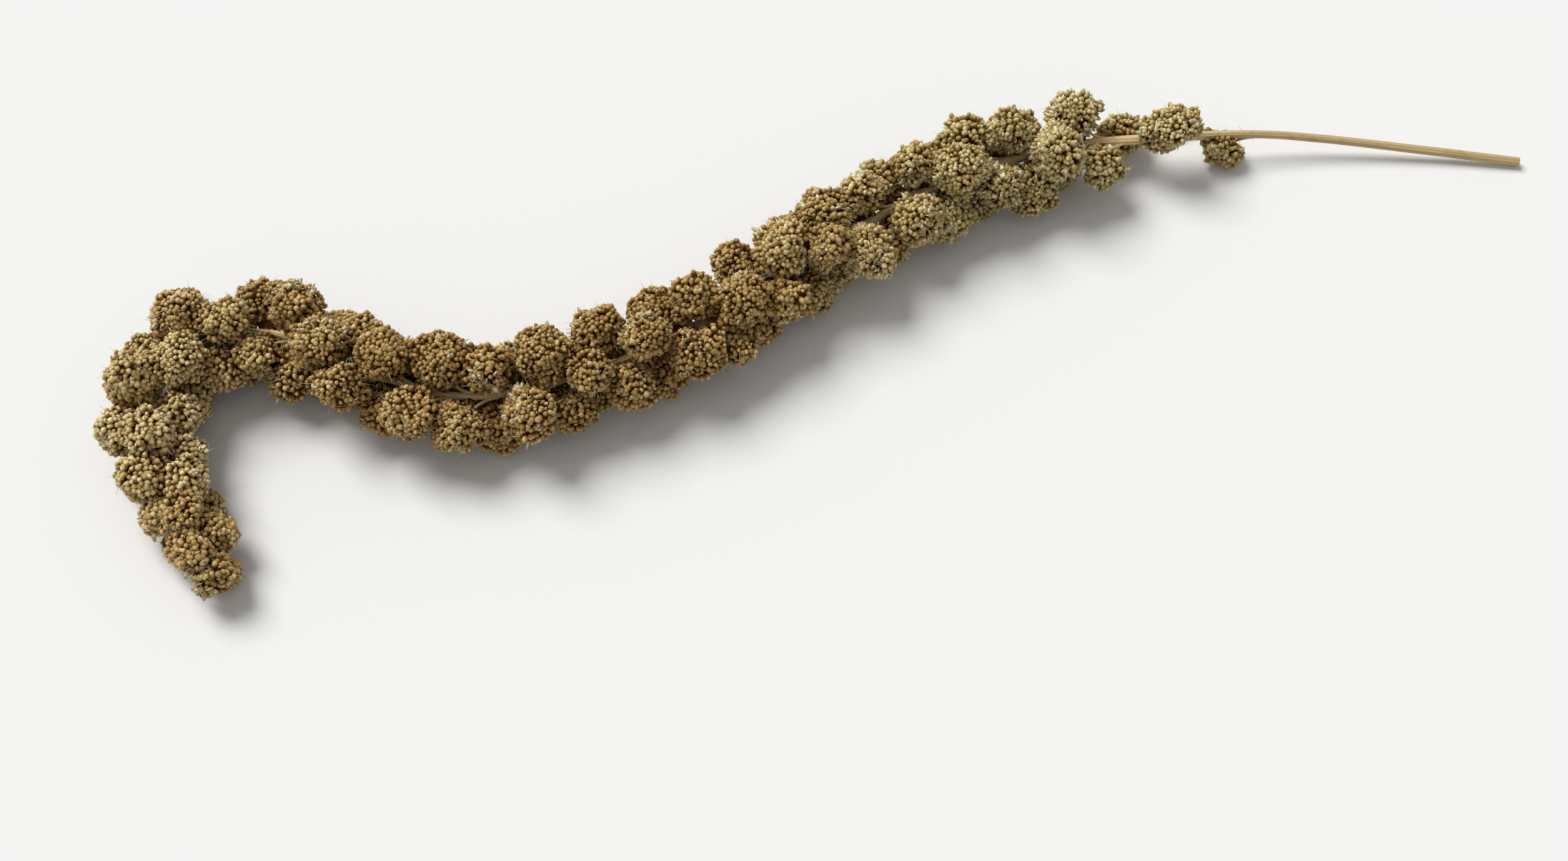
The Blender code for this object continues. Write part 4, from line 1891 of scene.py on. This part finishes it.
@dataclass
class Rachis:
    """The stalk inside the head, with a short branch out to each lobe."""

    line: Line
    lobes: list[Lobe]
    radius_at_foot: float = 1.2 * MM
    swell: float = 0.3 * MM
    radius_at_tip: float = 0.8 * MM
    branch_radius: float = 0.45 * MM
    branch_thick: float = 1.1
    branch_taper: float = 0.35
    branch_run: float = 10 * MM
    bend_share: float = 0.35
    strand_out: float = 1.2 * MM
    strand_start: float = 0.7
    branch_sides: int = 6
    branch_steps: int = 7
    end_room: float = 10 * MM

    def cane(self) -> Cane:
        """The rachis itself, which ends inside the last lobes."""
        end = self.line.end - self.end_room
        return Cane(self.line, 0.0, end, self.radius_at_foot, self.radius_at_tip, swell=self.swell)

    def branch(self, lobe: Lobe) -> tuple:
        """The branch that carries a lobe.

        Args:
            lobe: The lobe.

        Returns:
            Its corners, faces and places.
        """
        _, middle, _ = lobe.place()
        _, level, up = self.line.frame(lobe.station)
        out = level * math.cos(lobe.turn) + up * math.sin(lobe.turn)
        start = max(0.0, lobe.station - self.branch_run)
        bend_station = max(start, lobe.station - self.bend_share * self.branch_run)
        bend = self.line.at(bend_station) + out * self.strand_out
        begin = self.line.at(start) + out * self.strand_out * self.strand_start
        rings, levels = [], []
        for k in range(self.branch_steps + 1):
            share = k / self.branch_steps
            centre = begin.lerp(bend, share).lerp(bend.lerp(middle, share), share)
            heading = bend.lerp(middle, share) - begin.lerp(bend, share)
            side = heading.cross(out).normalized()
            other = heading.cross(side).normalized()
            radius = self.branch_radius * (self.branch_thick - self.branch_taper * share)
            turns = [i * math.tau / self.branch_sides for i in range(self.branch_sides)]
            rings.append([centre + (side * math.cos(a) + other * math.sin(a)) * radius for a in turns])
            levels.append(start + share * self.branch_run)
        verts, faces = tube(rings, begin, middle)
        return verts, faces, stalk_map(levels, self.branch_sides)

    def build(self, finish: bpy.types.Material) -> bpy.types.Object:
        """The rachis and its branches as a piece.

        Args:
            finish: Their finish.

        Returns:
            The piece.
        """
        stalks = [self.cane().mesh(), *(self.branch(lobe) for lobe in self.lobes)]
        obj = stalk_object("rachis", stalks)
        obj.data.materials.append(finish)
        return shown(obj, "head")


@dataclass
class Coat:
    """What covers the lobes: seeds, husks between them, shed husks in patches, and bristles that stand out.

    Bristles stand on the rachis too, and the lobes' brown cores show between the seeds.
    """

    skins: LobeSkins
    rachis: Cane
    core_sink: float = 1.25 * MM
    husk_finish: HuskFinish = HuskFinish(
        "husk", dark=(0.3, 0.2, 0.08), pale=(0.72, 0.62, 0.4), root=(0.22, 0.13, 0.04)
    )
    shed_finish: HuskFinish = HuskFinish(
        "shed_husk", dark=(0.44, 0.37, 0.18), pale=(0.78, 0.71, 0.46), root=(0.3, 0.19, 0.07)
    )
    hair_finish: HuskFinish = HuskFinish(
        "bristle", dark=(0.5, 0.35, 0.16), pale=(0.85, 0.7, 0.44), root=(0.42, 0.26, 0.09)
    )
    foot_tufts_from: float = 0.46
    seeds: Planting = Planting(
        seed=3,
        sink=1.25 * MM,
        clump_height=0.8 * MM,
        lean=0.25,
        stray=0.6,
        smallest=0.8,
        largest=1.12,
        tone_spread=0.27,
        open_at_least=-0.2 * MM,
        as_sheet=True,
        at_places=True,
    )
    husks: Planting = Planting(
        seed=17,
        sink=1.2 * MM,
        clump_height=1.0 * MM,
        lean=0.35,
        stray=0.5,
        smallest=0.8,
        largest=1.1,
        open_at_least=0.3 * MM,
        spacing=2.0 * MM,
        tuft_share=0.4,
    )
    shed_husks: Planting = Planting(
        seed=61,
        sink=1.3 * MM,
        clump_height=0.6 * MM,
        lean=0.1,
        stray=0.9,
        smallest=1.0,
        largest=1.45,
        tone_spread=0.4,
        open_at_least=0.3 * MM,
        tuft_share=1.0,
        tuft_scale=75.0,
        tuft_from=0.57,
    )
    bristles: Planting = Planting(
        seed=29,
        sink=0.5 * MM,
        clump_height=1.0 * MM,
        lean=0.55,
        stray=0.7,
        smallest=0.5,
        largest=1.08,
        open_at_least=0.1 * MM,
        spacing=1.15 * MM,
        low_share=0.65,
        tuft_share=0.85,
    )
    rachis_hairs: Planting = Planting(
        seed=43,
        sink=0.2 * MM,
        clump_height=0.0,
        lean=0.7,
        stray=0.8,
        smallest=0.4,
        largest=0.95,
        open_at_least=0.0,
        tuft_share=0.5,
    )

    def build(self) -> Iterator[bpy.types.Object]:
        """Covers the head, stretch by stretch.

        Yields:
            Each piece.
        """
        tree = ScatterTree()
        hull = HullFinish().material()
        husk, shed = self.husk_finish.material(), self.shed_finish.material()
        hair = self.hair_finish.material()
        husk_kinds = HuskKinds().collection()
        shed_kinds = HuskKinds("shed_husk", width=1.35 * MM, keel=0.3 * MM, tip_share=0.5).collection()
        bristle_kinds = BristleKinds().collection()
        slim_seeds = SeedKinds("slim_seed", 2.1 * MM, waist=(0.42, 1.0), shapes=SLIM_SHAPES).collection()
        round_seeds = SeedKinds("round_seed").collection()
        foot_husks = replace(self.shed_husks, tuft_from=self.foot_tufts_from)
        for stretch in Stretch:
            skin, spots = self.skins.fine(stretch), self.skins.spots(stretch)
            slim = stretch in (Stretch.FOOT, Stretch.LOWER)
            seed_kinds = slim_seeds if slim else round_seeds
            sets = (
                ("seeds", spots, self.seeds, seed_kinds, hull),
                ("husks", skin, self.husks, husk_kinds, husk),
                ("shed_husks", skin, foot_husks if slim else self.shed_husks, shed_kinds, shed),
                ("bristles", skin, self.bristles, bristle_kinds, hair),
            )
            for label, carrier, planting, kinds, finish in sets:
                inputs = {**planting.inputs(), "Kinds": kinds, "Finish": finish}
                piece = tree.grow(f"{label}_{stretch.label}", carrier, inputs)
                yield shown(piece, "head")
            bpy.data.objects.remove(skin)
            bpy.data.objects.remove(spots)
        skin = self.skins.along_rachis(self.rachis)
        inputs = {**self.rachis_hairs.inputs(), "Kinds": bristle_kinds, "Finish": hair}
        yield shown(tree.grow("hairs_rachis", skin, inputs), "head")
        bpy.data.objects.remove(skin)
        yield shown(self.skins.cores(self.core_sink, CoreFinish().material()), "head")


@dataclass
class Studio:
    """A pale floor, one soft light from above and the camera at the photograph's angle."""

    camera_place: tuple[float, float, float] = (-0.0160, -0.3221, 0.5167)
    target: tuple[float, float, float] = (-0.0160, -0.0316, 0.0135)
    lens: float = 50.0
    light_from: tuple[float, float, float] = (-0.5, 0.45, 0.9)
    light_power: float = 3.1
    light_spread: float = math.radians(34)
    sky_power: float = 0.4
    seen_sky: float = 0.9
    floor_size: float = 30.0
    floor_drop: float = 0.05 * MM
    floor_colour: Colour = (0.76, 0.76, 0.75)

    def build(self) -> None:
        """Sets the floor, the lights and the camera, and shows colours as they are."""
        bpy.context.scene.view_settings.view_transform = "Standard"
        self.add_floor()
        self.add_light()
        world = bpy.data.worlds.new("studio")
        world.use_nodes = True
        nodes = Nodes(world.node_tree)
        seen = nodes.add("ShaderNodeLightPath").outputs["Is Camera Ray"]
        power = nodes.math("MULTIPLY_ADD", seen, self.seen_sky - self.sky_power, self.sky_power)
        sky = nodes.add("ShaderNodeBackground", {"Color": opaque((1.0, 1.0, 1.0)), "Strength": power})
        nodes.add("ShaderNodeOutputWorld", {"Surface": sky.outputs[0]})
        bpy.context.scene.world = world
        self.add_camera()

    def add_floor(self) -> None:
        """A plain pale floor just under the spray."""
        half = self.floor_size / 2
        corners = ((-half, -half), (half, -half), (half, half), (-half, half))
        mesh = bpy.data.meshes.new("floor")
        mesh.from_pydata([(x, y, -self.floor_drop) for x, y in corners], [], [(0, 1, 2, 3)])
        floor = bpy.data.objects.new("floor", mesh)
        material, nodes = new_material("floor")
        finish_material(nodes, {"Base Color": opaque(self.floor_colour), "Roughness": 0.9})
        mesh.materials.append(material)
        bpy.context.scene.collection.objects.link(floor)
        floor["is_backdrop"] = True

    def add_light(self) -> None:
        """A broad, even light from the upper left, behind the spray."""
        lamp = bpy.data.lights.new("key", "SUN")
        lamp.energy = self.light_power
        lamp.angle = self.light_spread
        holder = bpy.data.objects.new("key", lamp)
        holder.rotation_euler = Vector(self.light_from).to_track_quat("Z", "Y").to_euler()
        bpy.context.scene.collection.objects.link(holder)

    def add_camera(self) -> None:
        """The camera, which looks down on the spray."""
        camera = bpy.data.cameras.new("camera")
        camera.lens = self.lens
        camera.clip_start = 0.01
        camera.clip_end = 20.0
        holder = bpy.data.objects.new("camera", camera)
        place = Vector(self.camera_place)
        holder.location = place
        holder.rotation_euler = (Vector(self.target) - place).to_track_quat("-Z", "Y").to_euler()
        bpy.context.scene.collection.objects.link(holder)
        bpy.context.scene.camera = holder


def main() -> None:
    """Builds the spray's pieces in order and reports each."""
    logging.basicConfig(level=logging.INFO, format="%(message)s")
    line = Line()
    rule = Growth()
    lobes = grow_lobes(line, rule)
    LOG.info("%d lobes on a head of %.0f mm", len(lobes), line.end / MM)
    straw = StrawFinish().material()
    rachis = Rachis(line, lobes)
    pieces = [Stem(line).build(straw), rachis.build(straw)]
    pieces.extend(Coat(LobeSkins(line, lobes), rachis.cane()).build())
    for piece in pieces:
        LOG.info("%s: %d triangles", piece.name, triangles(piece))
    LOG.info("%d pieces, %d triangles", len(pieces), sum(triangles(piece) for piece in pieces))
    Studio().build()
    boxes = {"cad": CAD_BOX, "visual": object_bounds()}
    {name: [list(corner) for corner in box] for name, box in boxes.items()}


if __name__ == "__main__":
    main()
